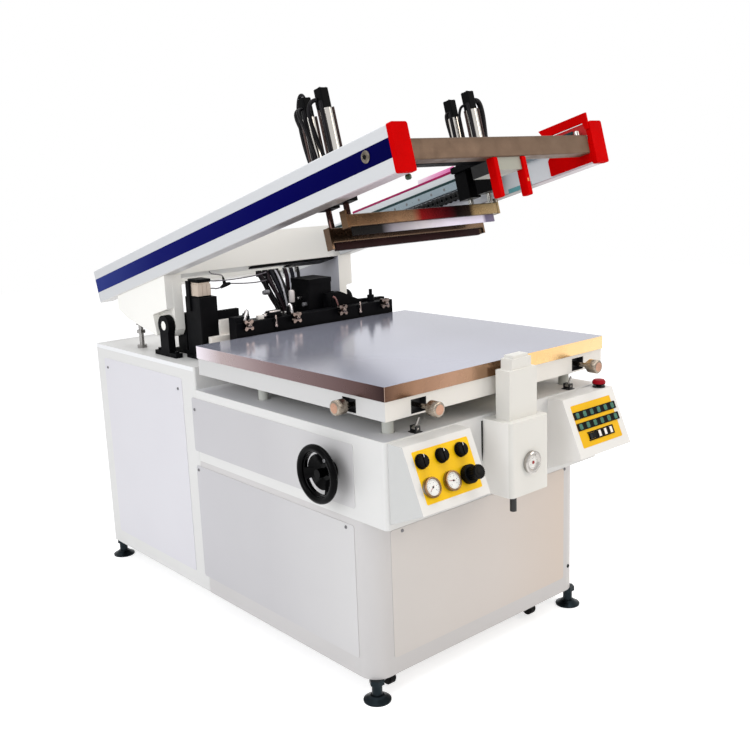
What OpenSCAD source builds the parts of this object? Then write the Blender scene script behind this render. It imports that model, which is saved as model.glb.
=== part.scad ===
// Flatbed screen printer: a sheet-metal cabinet carries a levelled vacuum table, and a tilting head
// with a squeegee carriage is hinged behind the table. Millimetres, +Z up, -Y to the operator, origin on
// the floor under the middle of the cabinet. The head is drawn level and then tilted to its open rest.

/* [Cabinet] */
// Width of the cabinet
cabinet_w = 840; // [830:2:850]
// Depth of the cabinet on its feet
cabinet_d = 1446; // [1440:2:1452]
// Gap between the floor and the cabinet walls
floor_gap = 60; // [58:1:66]
// Height of the rear section that carries the head
rear_h = 789; // [786:1:790]
// Height of the front section under the table
front_h = 720; // [718:1:722]
// Place of the step between both sections, behind the middle
step_y = 68; // [66:1:70]
// How far the upper front section overhangs the lower one
hood_overhang = 69; // [66:1:72]
// Height of the lower edge of the upper front section
hood_low = 496; // [490:1:500]
// Thickness of the cabinet sheet
sheet_t = 3; // [2:0.5:3]
// Radius of the lower front corner posts
post_r = 55; // [40:1:60]

/* [Table] */
// Width of the vacuum table
table_w = 851; // [846:1:856]
// Depth of the vacuum table
table_d = 842; // [838:1:844]
// Front edge of the table
table_front = -805; // [-807:1:-803]
// Height of the table's top surface over the floor
table_top_h = 860; // [859:1:861]
// Thickness of the polished slab
slab_t = 37; // [35:1:39]
// Height of the white frame under the slab
frame_h = 50; // [48:1:51]
// Fine adjustment of the table each way
adjust_travel = 10; // [5:1:10]
// Lift of the table each way
lift_travel = 12; // [6:1:12]

/* [Head] */
// Place of the hinge line behind the middle
hinge_y = 300; // [298:1:302]
// Height of the hinge line
hinge_z = 888; // [887:1:890]
// Angle at which the head stands open
open_angle = 15.2; // [15:0.1:15.5]
// Width of the head over both side beams
head_w = 776; // [770:2:780]
// Width of a side beam
beam_w = 51; // [48:1:52]
// Height of a side beam
beam_h = 113; // [111:1:115]
// Height of the underside of the side beams with the head level
beam_low = 1037; // [1036:1:1040]
// Front end of the side beams with the head level
beam_front = -910; // [-914:1:-908]
// Rear end of the side beams with the head level
beam_rear = 698; // [690:1:702]

/* [Carriage] */
// Place of the flood bar's cylinders with the head level
flood_y = -580; // [-582:1:-578]
// Place of the squeegee's cylinders with the head level
squeegee_y = -504; // [-506:1:-502]
// Distance of each cylinder from the middle
cylinder_x = 272; // [270:1:275]
// Height of the cylinder tops with the head level
cylinder_top = 1348; // [1342:1:1352]

/* [Hidden] */
$fn = 40;

cab_x = cabinet_w / 2;
back_y = cabinet_d / 2;
front_y = -cabinet_d / 2;
hood_y = front_y - hood_overhang;
// Radial play of a running fit
fit = 0.05;

off_white = [0.90, 0.90, 0.88];
light_grey = [0.62, 0.62, 0.60];
steel = [0.72, 0.72, 0.72];
black = [0.06, 0.06, 0.07];
red = [0.78, 0.05, 0.05];
yellow = [0.93, 0.72, 0.12];

// Thickness of the base plates that take the feet and casters
plate_t = 8;
foot_x = 398;
foot_y = 704;
foot_r = 37;
foot_stem_r = 14;
caster_pin_r = 6;
caster_r = 21;
caster_z = 30;
caster_trail = 16;
left_caster = [-331, -690];
right_caster = [245, -690];
rear_caster = [331, 660];

// Hand wheel, its screw and the wedge that lifts the table
wheel_y = -592;
wheel_z = 612;
wheel_x = -474;
wheel_r = 78;
wheel_rim_r = 10;
screw_r = 10;
wedge_l = 100;
wedge_low = 588;
wedge_mid = 658;
wedge_slope = 0.4;
wedge_half_w = 34;
lift_posts = [[-347, -724], [-347, -190], [347, -190], [347, -724]];
lift_post_r = 15;
lift_pad_z = 756;
yoke_z = [692, 702];
slide_plate_z = 764;

frame_z = table_top_h - slab_t - frame_h;
slab_z = frame_z + frame_h;
table_rear = table_front + table_d;
knob_z = 795;
x_knob_y = -668;
y_knob_x = 312;
window_w = 52;
window_h = 36;

toggle_left = [-302, -775];
toggle_right = [300, -777];
post_x = 54;
post_front = -866;
post_back = -819;
post_top = 842;
post_cap_top = 878;
housing_x = 76;
housing_front = -890;
housing_low = 512;
housing_top = 712;
post_knob_z = 597;

console_top_y = -843;
console_top_z = 717;
console_low_y = -910;
console_low_z = 562;
console_back_z = 511;
face_tilt = atan2(console_top_y - console_low_y, console_top_z - console_low_z);

beam_x = head_w / 2;
rail_x = beam_x - beam_w;
beam_top = beam_low + beam_h;
front_beam_y = [-913, -873];
front_beam_z = [1065, 1116];
// The arm is full height inside the bearing, and cut round it outside
arm_in = [322, 355];
arm_out = [355, 382];
arm_wall = 8;
arm_low = [[326, 851], [529, 951], [585, 996], [568, 1037]];
arm_in_profile = concat([[228, 1037], [266, 888], [272, 866], [290, 851]], arm_low);
arm_out_profile = concat([[228, 1037], [255, 934], [352, 934], [352, 864]], [for (i = [1:3]) arm_low[i]]);
stub_r = 15;
stub_x = [287, 381];
bearing_out = [358, 382];
bearing_in = [288, 316];
cross_y = [233, 335];
cross_z = [1035, 1150];
carriage_y = [-618, -482];
carriage_z = [1132, 1151];
cylinder_low = 1050;
tube_r = 17.5;
rod_r = 8;
rail_z = [1104, 1128];

register_y = [56, 96];
register_z = [845, 902];
star_x = [-233, -47, 145, 334];
star_z = 896;

// Plain box between two corners given as ranges
module block(x, y, z) {
    translate([x[0], y[0], z[0]]) cube([x[1] - x[0], y[1] - y[0], z[1] - z[0]]);
}

// Left and right copies
module both() {
    children();
    mirror([1, 0, 0]) children();
}

// Rectangle with round corners, centred
module round_rect(w, h, r) {
    square([w - 2 * r, h], center = true);
    square([w, h - 2 * r], center = true);
    for (sx = [-1, 1], sy = [-1, 1]) translate([sx * (w / 2 - r), sy * (h / 2 - r)]) circle(r);
}

// Tube or bar of rectangular section along Y
module bar_y(x, y, z, r) {
    translate([(x[0] + x[1]) / 2, y[1], (z[0] + z[1]) / 2]) rotate([90, 0, 0])
        linear_extrude(y[1] - y[0]) round_rect(x[1] - x[0], z[1] - z[0], r);
}

// Tube or bar of rectangular section along X
module bar_x(x, y, z, r) {
    translate([x[0], (y[0] + y[1]) / 2, (z[0] + z[1]) / 2]) rotate([90, 0, 90])
        linear_extrude(x[1] - x[0]) round_rect(y[1] - y[0], z[1] - z[0], r);
}

module rod_x(x, y, z, r) {
    translate([x[0], y, z]) rotate([0, 90, 0]) cylinder(h = x[1] - x[0], r = r);
}

module rod_y(x, y, z, r) {
    translate([x, y[1], z]) rotate([90, 0, 0]) cylinder(h = y[1] - y[0], r = r);
}

// A side profile in Y and Z, given width across X
module profile_x(x, points) {
    translate([x[0], 0, 0]) rotate([90, 0, 90]) linear_extrude(x[1] - x[0]) polygon(points);
}

// Takes level head coordinates to the open rest
module on_head() {
    translate([0, hinge_y, hinge_z]) rotate([-open_angle, 0, 0]) translate([0, -hinge_y, -hinge_z])
        children();
}

// Places a control on a console's sloped face, s down the slope; +Z points out of the face
module on_face(x, s) {
    translate([x, console_top_y, console_top_z]) rotate([90 - face_tilt, 0, 0]) translate([0, -s, 0])
        children();
}

// Round tube swept along a list of points in a plane near X
function unit(v) = v / norm(v);
function way(p, i) = unit(p[min(i + 1, len(p) - 1)] - p[max(i - 1, 0)]);
function ring(p, i, r, n) = let (t = way(p, i), a = unit(cross(t, [1, 0.13, 0.07])), b = cross(t, a))
    [for (k = [0:n - 1]) p[i] + r * (cos(360 * k / n) * a + sin(360 * k / n) * b)];
module tube(p, r, n = 8) {
    m = len(p);
    polyhedron(
        points = [for (i = [0:m - 1]) each ring(p, i, r, n)],
        faces = concat([[for (k = [0:n - 1]) k]], [[for (k = [n - 1:-1:0]) (m - 1) * n + k]],
            [for (i = [0:m - 2], k = [0:n - 1])
                [i * n + k, (i + 1) * n + k, (i + 1) * n + (k + 1) % n, i * n + (k + 1) % n]]));
}
// Points of a smooth sag between two ends, with straight starts
function hose_path(a, b, out_a, out_b, n = 14) = [for (i = [0:n]) let (t = i / n)
    pow(1 - t, 3) * a + 3 * t * pow(1 - t, 2) * (a + out_a) + 3 * t * t * (1 - t) * (b + out_b)
    + pow(t, 3) * b];

// Floor plan of a front shell that is open at the back
module front_plan(y0, y1, w, r) {
    translate([-w / 2, y0 + r]) square([w, y1 - y0 - r]);
    translate([-w / 2 + r, y0]) square([w - 2 * r, r + 1]);
    for (s = [-1, 1]) translate([s * (w / 2 - r), y0 + r]) circle(r);
}

module rear_cabinet() color(off_white) {
    mid = (step_y + back_y) / 2;
    difference() {
        translate([0, mid, floor_gap]) linear_extrude(rear_h - floor_gap)
            round_rect(cabinet_w, back_y - step_y, 8);
        translate([0, mid, floor_gap + plate_t]) linear_extrude(rear_h - floor_gap - plate_t - sheet_t)
            round_rect(cabinet_w - 2 * sheet_t, back_y - step_y - 2 * sheet_t, 5);
    }
}

module front_cabinet() color(off_white) {
    difference() {
        translate([0, 0, floor_gap]) linear_extrude(hood_low - floor_gap)
            front_plan(front_y, step_y, cabinet_w, post_r);
        translate([0, 0, floor_gap + plate_t]) linear_extrude(hood_low - floor_gap)
            front_plan(front_y + sheet_t, step_y + 1, cabinet_w - 2 * sheet_t, post_r - sheet_t);
        for (c = [left_caster, right_caster]) translate([c[0], c[1], floor_gap - 1])
            cylinder(h = plate_t + 2, r = caster_pin_r + fit);
    }
}

module front_hood() color(off_white) {
    difference() {
        translate([0, 0, hood_low]) linear_extrude(front_h - hood_low)
            front_plan(hood_y, step_y, cabinet_w, 12);
        translate([0, 0, hood_low + sheet_t]) linear_extrude(front_h - hood_low - 2 * sheet_t)
            front_plan(hood_y + sheet_t, step_y + 1, cabinet_w - 2 * sheet_t, 12 - sheet_t);
        block([-cab_x + sheet_t, cab_x - sheet_t], [front_y + sheet_t, step_y + 1],
            [hood_low - 1, hood_low + sheet_t + 1]);
        for (p = lift_posts) translate([p[0], p[1], front_h - 20]) cylinder(h = 40, r = lift_post_r + 3);
        rod_x([-cab_x - 1, -cab_x + 30], wheel_y, wheel_z, screw_r + fit);
    }
    // Bush of the hand wheel's screw
    difference() {
        rod_x([-cab_x + sheet_t, -cab_x + 32], wheel_y, wheel_z, 22);
        rod_x([-cab_x, -cab_x + 40], wheel_y, wheel_z, screw_r + fit);
    }
    // Bed that the lifting wedge slides on
    block([-cab_x + sheet_t, cab_x - sheet_t], [wheel_y - 45, wheel_y + 45], [wedge_low - 28, wedge_low]);
}

// Thin pressed cover with round corners on a side wall
module side_cover(y, z) {
    translate([-cab_x - 1.5, (y[0] + y[1]) / 2, (z[0] + z[1]) / 2]) rotate([90, 0, 90])
        linear_extrude(1.5) round_rect(y[1] - y[0], z[1] - z[0], 8);
}

module cover_panels() color(off_white) {
    both() side_cover([144, 663], [110, 745]);
    both() side_cover([-665, 91], [112, 478]);
    difference() {
        both() side_cover([-674, 91], [525, 694]);
        rod_x([-cab_x - 5, -cab_x + 1], wheel_y, wheel_z, 24);
    }
    translate([0, front_y, 283]) rotate([90, 0, 0]) linear_extrude(1.5) round_rect(700, 352, 8);
    difference() {
        translate([0, back_y + 1.5, 428]) rotate([90, 0, 0]) linear_extrude(1.5)
            round_rect(740, 634, 8);
        for (i = [0:7], s = [-1, 1]) translate([s * 180, back_y + 3, 220 + i * 22])
            rotate([90, 0, 0]) linear_extrude(4) round_rect(200, 9, 4);
    }
}

module foot() {
    rotate_extrude() polygon([[0, 0], [foot_r, 0], [foot_r, 4], [24, 11], [18, 16], [0, 16]]);
    translate([0, 0, 16]) cylinder(h = floor_gap - 16, r = foot_stem_r);
    translate([0, 0, floor_gap - 14]) cylinder(h = 14, r = 21, $fn = 6);
}

module levelling_feet() color(steel)
    for (sx = [-1, 1], sy = [-1, 1]) translate([sx * foot_x, sy * foot_y, 0]) foot();

// Two cheeks that hold a caster wheel, with the axle when it is part of the fork
module caster_cheeks(axle) {
    block([-17, 17], [-14, 14], [54, 58]);
    difference() {
        for (s = [-1, 1]) translate([s * 15.5 - 1.5, 0, 0]) rotate([90, 0, 90]) linear_extrude(3)
            polygon([[-14, 56], [14, 56], [caster_trail + 8, caster_z], [caster_trail, caster_z - 8],
                [caster_trail - 8, caster_z]]);
        if (!axle) rod_x([-30, 30], caster_trail, caster_z, 4 + fit);
    }
    if (axle) rod_x([-19, 19], caster_trail, caster_z, 4);
}

module swivel_fork(place) color(steel) translate([place[0], place[1], 0]) {
    caster_cheeks(true);
    translate([0, 0, 58]) cylinder(h = 1.6, r = 12);
    translate([0, 0, 58]) cylinder(h = 14, r = caster_pin_r);
}

module caster_tyre(w) {
    difference() {
        rotate([0, 90, 0]) rotate_extrude()
            polygon([[0, -w / 2], [caster_r - 4, -w / 2], [caster_r, -w / 2 + 3], [caster_r, w / 2 - 3],
                [caster_r - 4, w / 2], [0, w / 2]]);
        rod_x([-w, w], 0, 0, 4 + fit);
    }
}

module swivel_wheel(place) color(black)
    translate([place[0], place[1] + caster_trail, caster_z]) caster_tyre(24);

module left_caster_fork() swivel_fork(left_caster);
module left_caster_wheel() swivel_wheel(left_caster);
module right_caster_fork() swivel_fork(right_caster);
module right_caster_wheel() swivel_wheel(right_caster);

module rear_caster_forks() color(steel)
    both() translate([rear_caster[0], rear_caster[1], 0]) {
        caster_cheeks(false);
        block([-20, 20], [-20, 20], [58, floor_gap]);
    }

// Both rear wheels are pressed on one long axle
module rear_caster_wheels() color(black) translate([0, rear_caster[1] + caster_trail, caster_z]) {
    both() translate([rear_caster[0], 0, 0]) rotate([0, 90, 0]) rotate_extrude()
        polygon([[0, -12], [caster_r - 4, -12], [caster_r, -9], [caster_r, 9], [caster_r - 4, 12], [0, 12]]);
    rod_x([-rear_caster[0] - 20, rear_caster[0] + 20], 0, 0, 4);
}

// Pillow block with its bore on the hinge line; the flange is half a width long each way
module pillow_block(x, flange) {
    hub = 33;
    foot = 26;
    flange_t = 14;
    difference() {
        translate([x[0], 0, 0]) rotate([90, 0, 90]) linear_extrude(x[1] - x[0]) {
            translate([hinge_y, hinge_z]) circle(hub);
            translate([hinge_y - foot, rear_h]) square([2 * foot, hinge_z - rear_h]);
            translate([hinge_y - flange, rear_h]) square([2 * flange, flange_t]);
        }
        rod_x([x[0] - 1, x[1] + 1], hinge_y, hinge_z, stub_r + fit);
    }
    for (s = [-1, 1]) translate([(x[0] + x[1]) / 2, hinge_y + s * (flange - 14), rear_h + flange_t])
        cylinder(h = 7, r = 8, $fn = 6);
}

module bearing_blocks() color(black) both() {
    pillow_block(bearing_out, 67);
    pillow_block(bearing_in, 50);
}

// Upright housing with rounded corners, from its spans across, along and up
module housing(x, y, z, r) {
    translate([(x[0] + x[1]) / 2, (y[0] + y[1]) / 2, z[0]]) linear_extrude(z[1] - z[0])
        round_rect(x[1] - x[0], y[1] - y[0], r);
}

module drive_units() color(black) {
    // Left unit with its relay
    housing([-340, -277], [135, 225], [rear_h, 984], 4);
    housing([-345, -272], [131, 234], [rear_h, rear_h + 10], 6);
    difference() {
        housing([-336, -288], [150, 206], [983, 1024], 2);
        for (x = [-320, -304]) block([x, x + 1.6], [149, 151.6], [988, 1025]);
    }
    housing([-334, -290], [152, 204], [1024, 1029], 3);
    // Cable duct to the valve block
    block([-285, -196], [142, 158], [900, 936]);
    block([-205, -172], [150, 200], [rear_h, 905]);
    block([-284, -262], [250, 290], [rear_h, 1020]);
    housing([-170, 60], [150, 232], [rear_h, 880], 3);
    // Right unit with its lid and base flange
    housing([78, 175], [130, 230], [rear_h, 990], 4);
    housing([76, 177], [128, 232], [982, 998], 6);
    housing([73, 185], [124, 236], [rear_h, rear_h + 10], 6);
}

module register_bar() color(black) {
    bar_x([-266, 385], register_y, register_z, 3);
    block([-266, -212], [register_y[0] + 2, register_y[1]], [register_z[1], 920]);
    for (x = star_x) rod_y(x, [46, register_y[0]], star_z, 5);
    for (x = [-250, -60, 130, 330]) block([x - 15, x + 15], [73, 95], [rear_h, register_z[0]]);
    for (x = [-117, 235]) {
        block([x - 10, x + 10], [50, register_y[0]], [890, 900]);
        translate([x, 53, 866]) cylinder(h = 45, r = 3);
    }
    translate([310, 84, register_z[1]]) {
        cylinder(h = 22, r = 12);
        cylinder(h = 42, r = 6);
    }
    // Bracket behind the bar
    translate([0, 118, 0]) rotate([90, 0, 0]) linear_extrude(18)
        polygon([[128, rear_h], [128, 948], [190, 948], [236, 927], [272, 912], [388, 908], [388, rear_h]]);
}

// Console with a sloped operating face
module console(x) {
    profile_x(x, [[hood_y, console_top_z], [console_top_y, console_top_z], [console_low_y, console_low_z],
        [hood_y, console_back_z]]);
}

knob_bore_r = 5;
module face_bore(x, s) {
    on_face(x, s) translate([0, 0, -18]) cylinder(h = 30, r = knob_bore_r + fit);
}

valve_x = [-368, -301, -235];
valve_s = 44;
gauge_x = [-363, -294];
gauge_s = 110;
regulator_x = -236;
regulator_s = 108;
key_x = [296, 322, 348];
key_s = 116;
switch_x = 262;

module left_console() color(off_white) difference() {
    console([-410, -178]);
    for (x = valve_x) face_bore(x, valve_s);
    face_bore(regulator_x, regulator_s);
}

// Pivot of the rocker switch, which lies along the slope under the face
rocker_pin_r = 1.5;
rocker_pin_z = -3;
module rocker_pin(h, r) {
    on_face(switch_x, key_s) translate([0, 0, rocker_pin_z]) rotate([90, 0, 0])
        cylinder(h = h, r = r, center = true);
}
stop_place = [387, -820];
stop_stem_r = 8;
module key_well(x, w) {
    on_face(x, key_s) translate([-w / 2, -9, -12]) cube([w, 18, 20]);
}

module right_console() color(off_white) difference() {
    console([190, 418]);
    for (x = key_x) key_well(x, 16);
    key_well(switch_x, 30);
    rocker_pin(24, rocker_pin_r + fit);
    translate([stop_place[0], stop_place[1], console_top_z - 20]) cylinder(h = 30, r = stop_stem_r + fit);
}

module control_bezels() color(steel) {
    for (x = gauge_x) on_face(x, gauge_s) difference() {
        cylinder(h = 12, r = 25);
        translate([0, 0, 10]) cylinder(h = 5, r = 21);
    }
    toggle_ears(toggle_left);
    toggle_ears(toggle_right);
    translate([stop_place[0], stop_place[1], console_top_z]) difference() {
        cylinder(h = 3.5, r = 18);
        translate([0, 0, -1]) cylinder(h = 6, r = stop_stem_r + fit);
    }
}

module valve_knob(x) color(black) on_face(x, valve_s) {
    translate([0, 0, -15]) cylinder(h = 17, r = knob_bore_r);
    translate([0, 0, 1.5]) cylinder(h = 5, r = 21);
    translate([0, 0, 6.5]) cylinder(h = 20, r = 17);
    translate([-2, -17, 26.5]) cube([4, 34, 3]);
}
module valve_knob_1() valve_knob(valve_x[0]);
module valve_knob_2() valve_knob(valve_x[1]);
module valve_knob_3() valve_knob(valve_x[2]);

module regulator_knob() color(black) on_face(regulator_x, regulator_s) {
    translate([0, 0, -15]) cylinder(h = 17, r = knob_bore_r);
    translate([0, 0, 1.5]) cylinder(h = 18, r = 24);
    translate([0, 0, 19.5]) cylinder(h = 44, r = 17);
}

// Small lever switch that stands on the deck; the lever tilts about Y
module toggle(place) color(black) translate([place[0], place[1], front_h + 10]) {
    rotate([90, 0, 0]) cylinder(h = 12, r = 7, center = true);
    rotate([90, 0, 0]) cylinder(h = 22, r = 3, center = true);
    rotate([0, 28, 0]) cylinder(h = 28, r = 3);
}
// Base with two ears that hold a toggle's pin
module toggle_ears(place) translate([place[0], place[1], front_h]) {
    translate([-12, -14, 0]) cube([24, 28, 2]);
    difference() {
        for (s = [-1, 1]) translate([-7, s * 9 - 2.5, 2]) cube([14, 5, 15]);
        rod_y(0, [-20, 20], 10, 3 + fit);
    }
}
module left_toggle() toggle(toggle_left);
module right_toggle() toggle(toggle_right);

module stop_button() color(red) translate([stop_place[0], stop_place[1], console_top_z]) {
    translate([0, 0, -12]) cylinder(h = 20, r = stop_stem_r);
    translate([0, 0, 8]) rotate_extrude()
        polygon([[0, 0], [17, 0], [19, 3], [19, 9], [15, 14], [0, 16]]);
}

module push_key(x) color(off_white) on_face(x, key_s) translate([-7.5, -8.5, -8]) cube([15, 17, 12]);
module start_key() push_key(key_x[0]);
module cycle_key() push_key(key_x[1]);
module vacuum_key() push_key(key_x[2]);
module power_switch() color(black) {
    on_face(switch_x, key_s) translate([0, 0, rocker_pin_z]) rotate([0, 6, 0]) translate([0, 8.4, 0])
        rotate([90, 0, 0]) linear_extrude(16.8)
            polygon([[-13.6, -3], [13.6, -3], [13.6, 7.5], [0, 5.8], [-13.6, 7.5]]);
    rocker_pin(21, rocker_pin_r);
}

// Adjustable rests under the rear ends of the arms
module open_stops() color(steel) both() translate([352, 510, rear_h]) {
    cylinder(h = 78, r = 8);
    cylinder(h = 10, r = 18, $fn = 6);
    translate([0, 0, 50]) cylinder(h = 10, r = 16, $fn = 6);
    translate([0, 0, 78]) cylinder(h = 12, r = 15);
}

module hose_bundle() color(black) {
    for (i = [0:3]) tube(hose_path([20 + i * 15, 216 - 6 * (i % 2), 881], [-16 + i * 26, 286, 1023],
        [-10, 10, 60], [4, -34, -52]), 7);
}

module post_housing() color(off_white) {
    difference() {
        translate([0, 0, housing_low]) linear_extrude(housing_top - housing_low)
            front_plan(housing_front, hood_y, 2 * housing_x, 14);
        block([-post_x - 0.4, post_x + 0.4], [post_front - 0.4, post_back + 0.4],
            [housing_low + 8, housing_top + 1]);
        rod_y(0, [housing_front - 1, post_front + 2], post_knob_z, 8 + fit);
    }
    translate([-24, -850, housing_low - 54]) cylinder(h = 54, r = 9);
}

module head_post() color(off_white) {
    block([-post_x, post_x], [post_front, post_back], [524, post_top]);
    block([-38, 38], [post_front + 6, post_back - 4], [post_top, post_cap_top - 8]);
    block([-30, 30], [post_front + 10, post_back - 8], [post_cap_top - 8, post_cap_top]);
}

module post_knob() color(steel) {
    rod_y(0, [housing_front - 3, housing_front + 20], post_knob_z, 8);
    translate([0, housing_front - 1, post_knob_z]) rotate([90, 0, 0]) rotate_extrude()
        polygon([[0, 0], [30, 0], [30, 9], [27, 11], [22, 11], [18, 7], [0, 7]]);
}

// Dished hand wheel with three openings; its screw drives the wedge
module hand_wheel() color(black) {
    translate([wheel_x, wheel_y, wheel_z]) rotate([0, 90, 0]) {
        rotate_extrude() translate([wheel_r - wheel_rim_r, 0]) circle(wheel_rim_r);
        difference() {
            rotate_extrude() polygon([[screw_r - 1, 26], [22, 26], [wheel_r - 16, -1], [wheel_r - 12, 6],
                [26, 34], [26, 48], [screw_r - 1, 48]]);
            for (a = [0:120:240]) rotate([0, 0, a + 20]) translate([0, 0, -20]) linear_extrude(80)
                polygon([for (t = [-44:11:44]) 56 * [cos(t), sin(t)], for (t = [39:-13:-39]) 34 * [cos(t), sin(t)]]);
        }
        cylinder(h = 20, r = 12);
        translate([0, 0, 16]) cylinder(h = 540, r = screw_r);
    }
}

module lift_wedge() color(steel) difference() {
    profile = [[-wedge_l / 2, wedge_low + 0.2], [wedge_l / 2, wedge_low + 0.2],
        [wedge_l / 2, wedge_mid + wedge_slope * wedge_l / 2],
        [-wedge_l / 2, wedge_mid - wedge_slope * wedge_l / 2]];
    translate([0, wheel_y + wedge_half_w, 0]) rotate([90, 0, 0]) linear_extrude(2 * wedge_half_w)
        polygon(profile);
    rod_x([-wedge_l, wedge_l], wheel_y, wheel_z, screw_r + fit);
}

module lift_yoke() color(steel) {
    h = wedge_slope * wedge_l / 2;
    block([-366, 366], [-743, -171], yoke_z);
    translate([0, wheel_y + wedge_half_w, 0]) rotate([90, 0, 0]) linear_extrude(2 * wedge_half_w)
        polygon([[-wedge_l / 2, wedge_mid + 0.15 - h], [wedge_l / 2, wedge_mid + 0.15 + h],
            [wedge_l / 2, yoke_z[0]], [-wedge_l / 2, yoke_z[0]]]);
    for (p = lift_posts) translate([p[0], p[1], yoke_z[1]]) {
        cylinder(h = lift_pad_z - 4 - yoke_z[1], r = lift_post_r);
        translate([0, 0, lift_pad_z - 4 - yoke_z[1]]) cylinder(h = 4, r = 22);
    }
}

module table_slide() color(light_grey)
    block([-374, 374], [-750, -164], [lift_pad_z + 0.2, slide_plate_z]);

// Slot in the frame through which an adjusting screw comes out
module frame_window(a) {
    cube([a[0], a[1], a[2]], center = true);
}

module table_frame() color(off_white) {
    w = table_w / 2 - 4;
    y0 = table_front + 4;
    y1 = table_rear - 4;
    difference() {
        union() {
            difference() {
                block([-w, w], [y0, y1], [frame_z, slab_z]);
                block([-w + 6, w - 6], [y0 + 6, y1 - 6], [frame_z + 3, slab_z + 1]);
            }
            translate([-w + 20, x_knob_y, knob_z]) cube([40, window_w + 16, 44], center = true);
            for (s = [-1, 1]) translate([s * y_knob_x, y0 + 20, knob_z])
                cube([window_w + 16, 40, 44], center = true);
        }
        translate([-w, x_knob_y, knob_z]) frame_window([2 * 22, window_w, window_h]);
        for (s = [-1, 1]) translate([s * y_knob_x, y0, knob_z]) frame_window([window_w, 2 * 22, window_h]);
        rod_x([-w, -w + 60], x_knob_y, knob_z, 6 + fit);
        for (s = [-1, 1]) rod_y(s * y_knob_x, [y0, y0 + 60], knob_z, 6 + fit);
    }
    for (p = lift_posts) block([p[0] - 25, p[0] + 25], [p[1] - 25, p[1] + 25], [slide_plate_z + 0.2, frame_z]);
}

module table_slab() color(steel)
    translate([0, (table_front + table_rear) / 2, slab_z]) linear_extrude(slab_t)
        round_rect(table_w, table_d, 5);

// Knurled knob on a screw; the screw points along +Z into the frame
module adjust_knob() {
    cylinder(h = 70, r = 6);
    translate([0, 0, -30]) cylinder(h = 32, r = 19);
    translate([0, 0, 2]) cylinder(h = 8, r = 11);
}
module x_adjust_knob() color(steel) translate([-table_w / 2 - 14, x_knob_y, knob_z]) rotate([0, 90, 0])
    adjust_knob();
module y_adjust(x) translate([x, table_front - 38, knob_z]) rotate([-90, 0, 0]) adjust_knob();
module y_adjust_knob_left() color(steel) y_adjust(-y_knob_x);
module y_adjust_knob_right() color(steel) y_adjust(y_knob_x);

// Four-lobed clamping knob
star_hub_r = 11;
star_lobe_r = 5.6;
star_reach = 15.4;
module star_knob(x) color(steel) translate([x, 45.8, star_z]) rotate([90, 0, 0]) {
    linear_extrude(14) {
        circle(star_hub_r);
        for (a = [45:90:315]) rotate(a) hull() {
            circle(star_lobe_r - 1);
            translate([star_reach, 0]) circle(star_lobe_r);
        }
    }
    cylinder(h = 20, r = 7);
}
module star_knob_1() star_knob(star_x[0]);
module star_knob_2() star_knob(star_x[1]);
module star_knob_3() star_knob(star_x[2]);
module star_knob_4() star_knob(star_x[3]);

module side_beams() color(off_white) on_head() both() difference() {
    bar_y([rail_x, beam_x], [beam_front, beam_rear], [beam_low, beam_top], 5);
    bar_y([rail_x + 4, beam_x - 4], [beam_front - 1, beam_rear - 4], [beam_low + 4, beam_top - 4], 2);
}

module corner_caps() color(red) on_head() {
    both() {
        bar_y([rail_x - 1, beam_x + 1], [beam_front - 15, beam_front], [beam_low - 1, beam_top + 1], 6);
        profile_x([rail_x - 7, rail_x], [[-912, 1042], [-768, 1042], [-768, 1084], [-786, 1103],
            [-912, 1103]]);
        bar_x([46, 60], [front_beam_y[0], front_beam_y[0] + 24], [966, front_beam_z[0]], 4);
    }
    profile_x([rail_x - 7, rail_x], [[-922, 1130], [-912, 1130], [-906, 1150], [-770, 1150],
        [-756, 1174], [-922, 1174]]);
}

module front_beam() color(steel) on_head() difference() {
    bar_x([-rail_x + 7, rail_x - 7], front_beam_y, front_beam_z, 4);
    bar_x([-rail_x, rail_x], front_beam_y + [3, -3], front_beam_z + [3, -3], 2);
}

module head_latch() color(light_grey) on_head()
    block([-45, 45], [front_beam_y[0] + 6, -820], [front_beam_z[0] - 32, front_beam_z[0]]);

module swing_frame() color(off_white) on_head() {
    both() {
        difference() {
            union() {
                profile_x(arm_in, arm_in_profile);
                profile_x(arm_out, arm_out_profile);
            }
            profile_x(arm_in + [arm_wall, -arm_wall], [[242, 1029], [277, 890], [284, 872], [296, 862],
                [322, 862], [522, 960], [571, 1000], [560, 1029]]);
            profile_x(arm_out + [0.1, -arm_wall], [[242, 1029], [264, 942], [360, 942], [360, 877],
                [522, 957], [571, 1000], [560, 1029]]);
            rod_x([arm_in[0] - 1, arm_out[1] + 1], hinge_y, hinge_z, stub_r + 0.02);
        }
        rod_x(stub_x, hinge_y, hinge_z, stub_r);
    }
    difference() {
        block([-rail_x, rail_x], cross_y, [beam_low, cross_z[1]]);
        block([-rail_x + 6, rail_x - 6], cross_y + [6, -6], [beam_low + 6, cross_z[1] - 6]);
    }
    difference() {
        block([-rail_x, rail_x], [600, 660], [1060, 1130]);
        block([-rail_x + 5, rail_x - 5], [605, 655], [1065, 1125]);
    }
}

module guide_rails() color(steel) on_head() both()
    block([rail_x - 18, rail_x], [-870, 228], rail_z);

module drag_chain() color(black) on_head() {
    links = 45;
    pitch = 14;
    first = -428;
    for (y = [first:pitch:first + (links - 1) * pitch]) block([303, 321], [y, y + 11], [1074, 1100]);
    block([306, 318], [first + 2, first + 8 + links * pitch], [1080, 1096]);
    for (y = [-420, -120, 190]) block([306, rail_x], [y, y + 14], [1083, 1089]);
    // Tray of the hoses under the cross box
    block([-40, 286], [240, 262], [1031, beam_low]);
}

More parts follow.
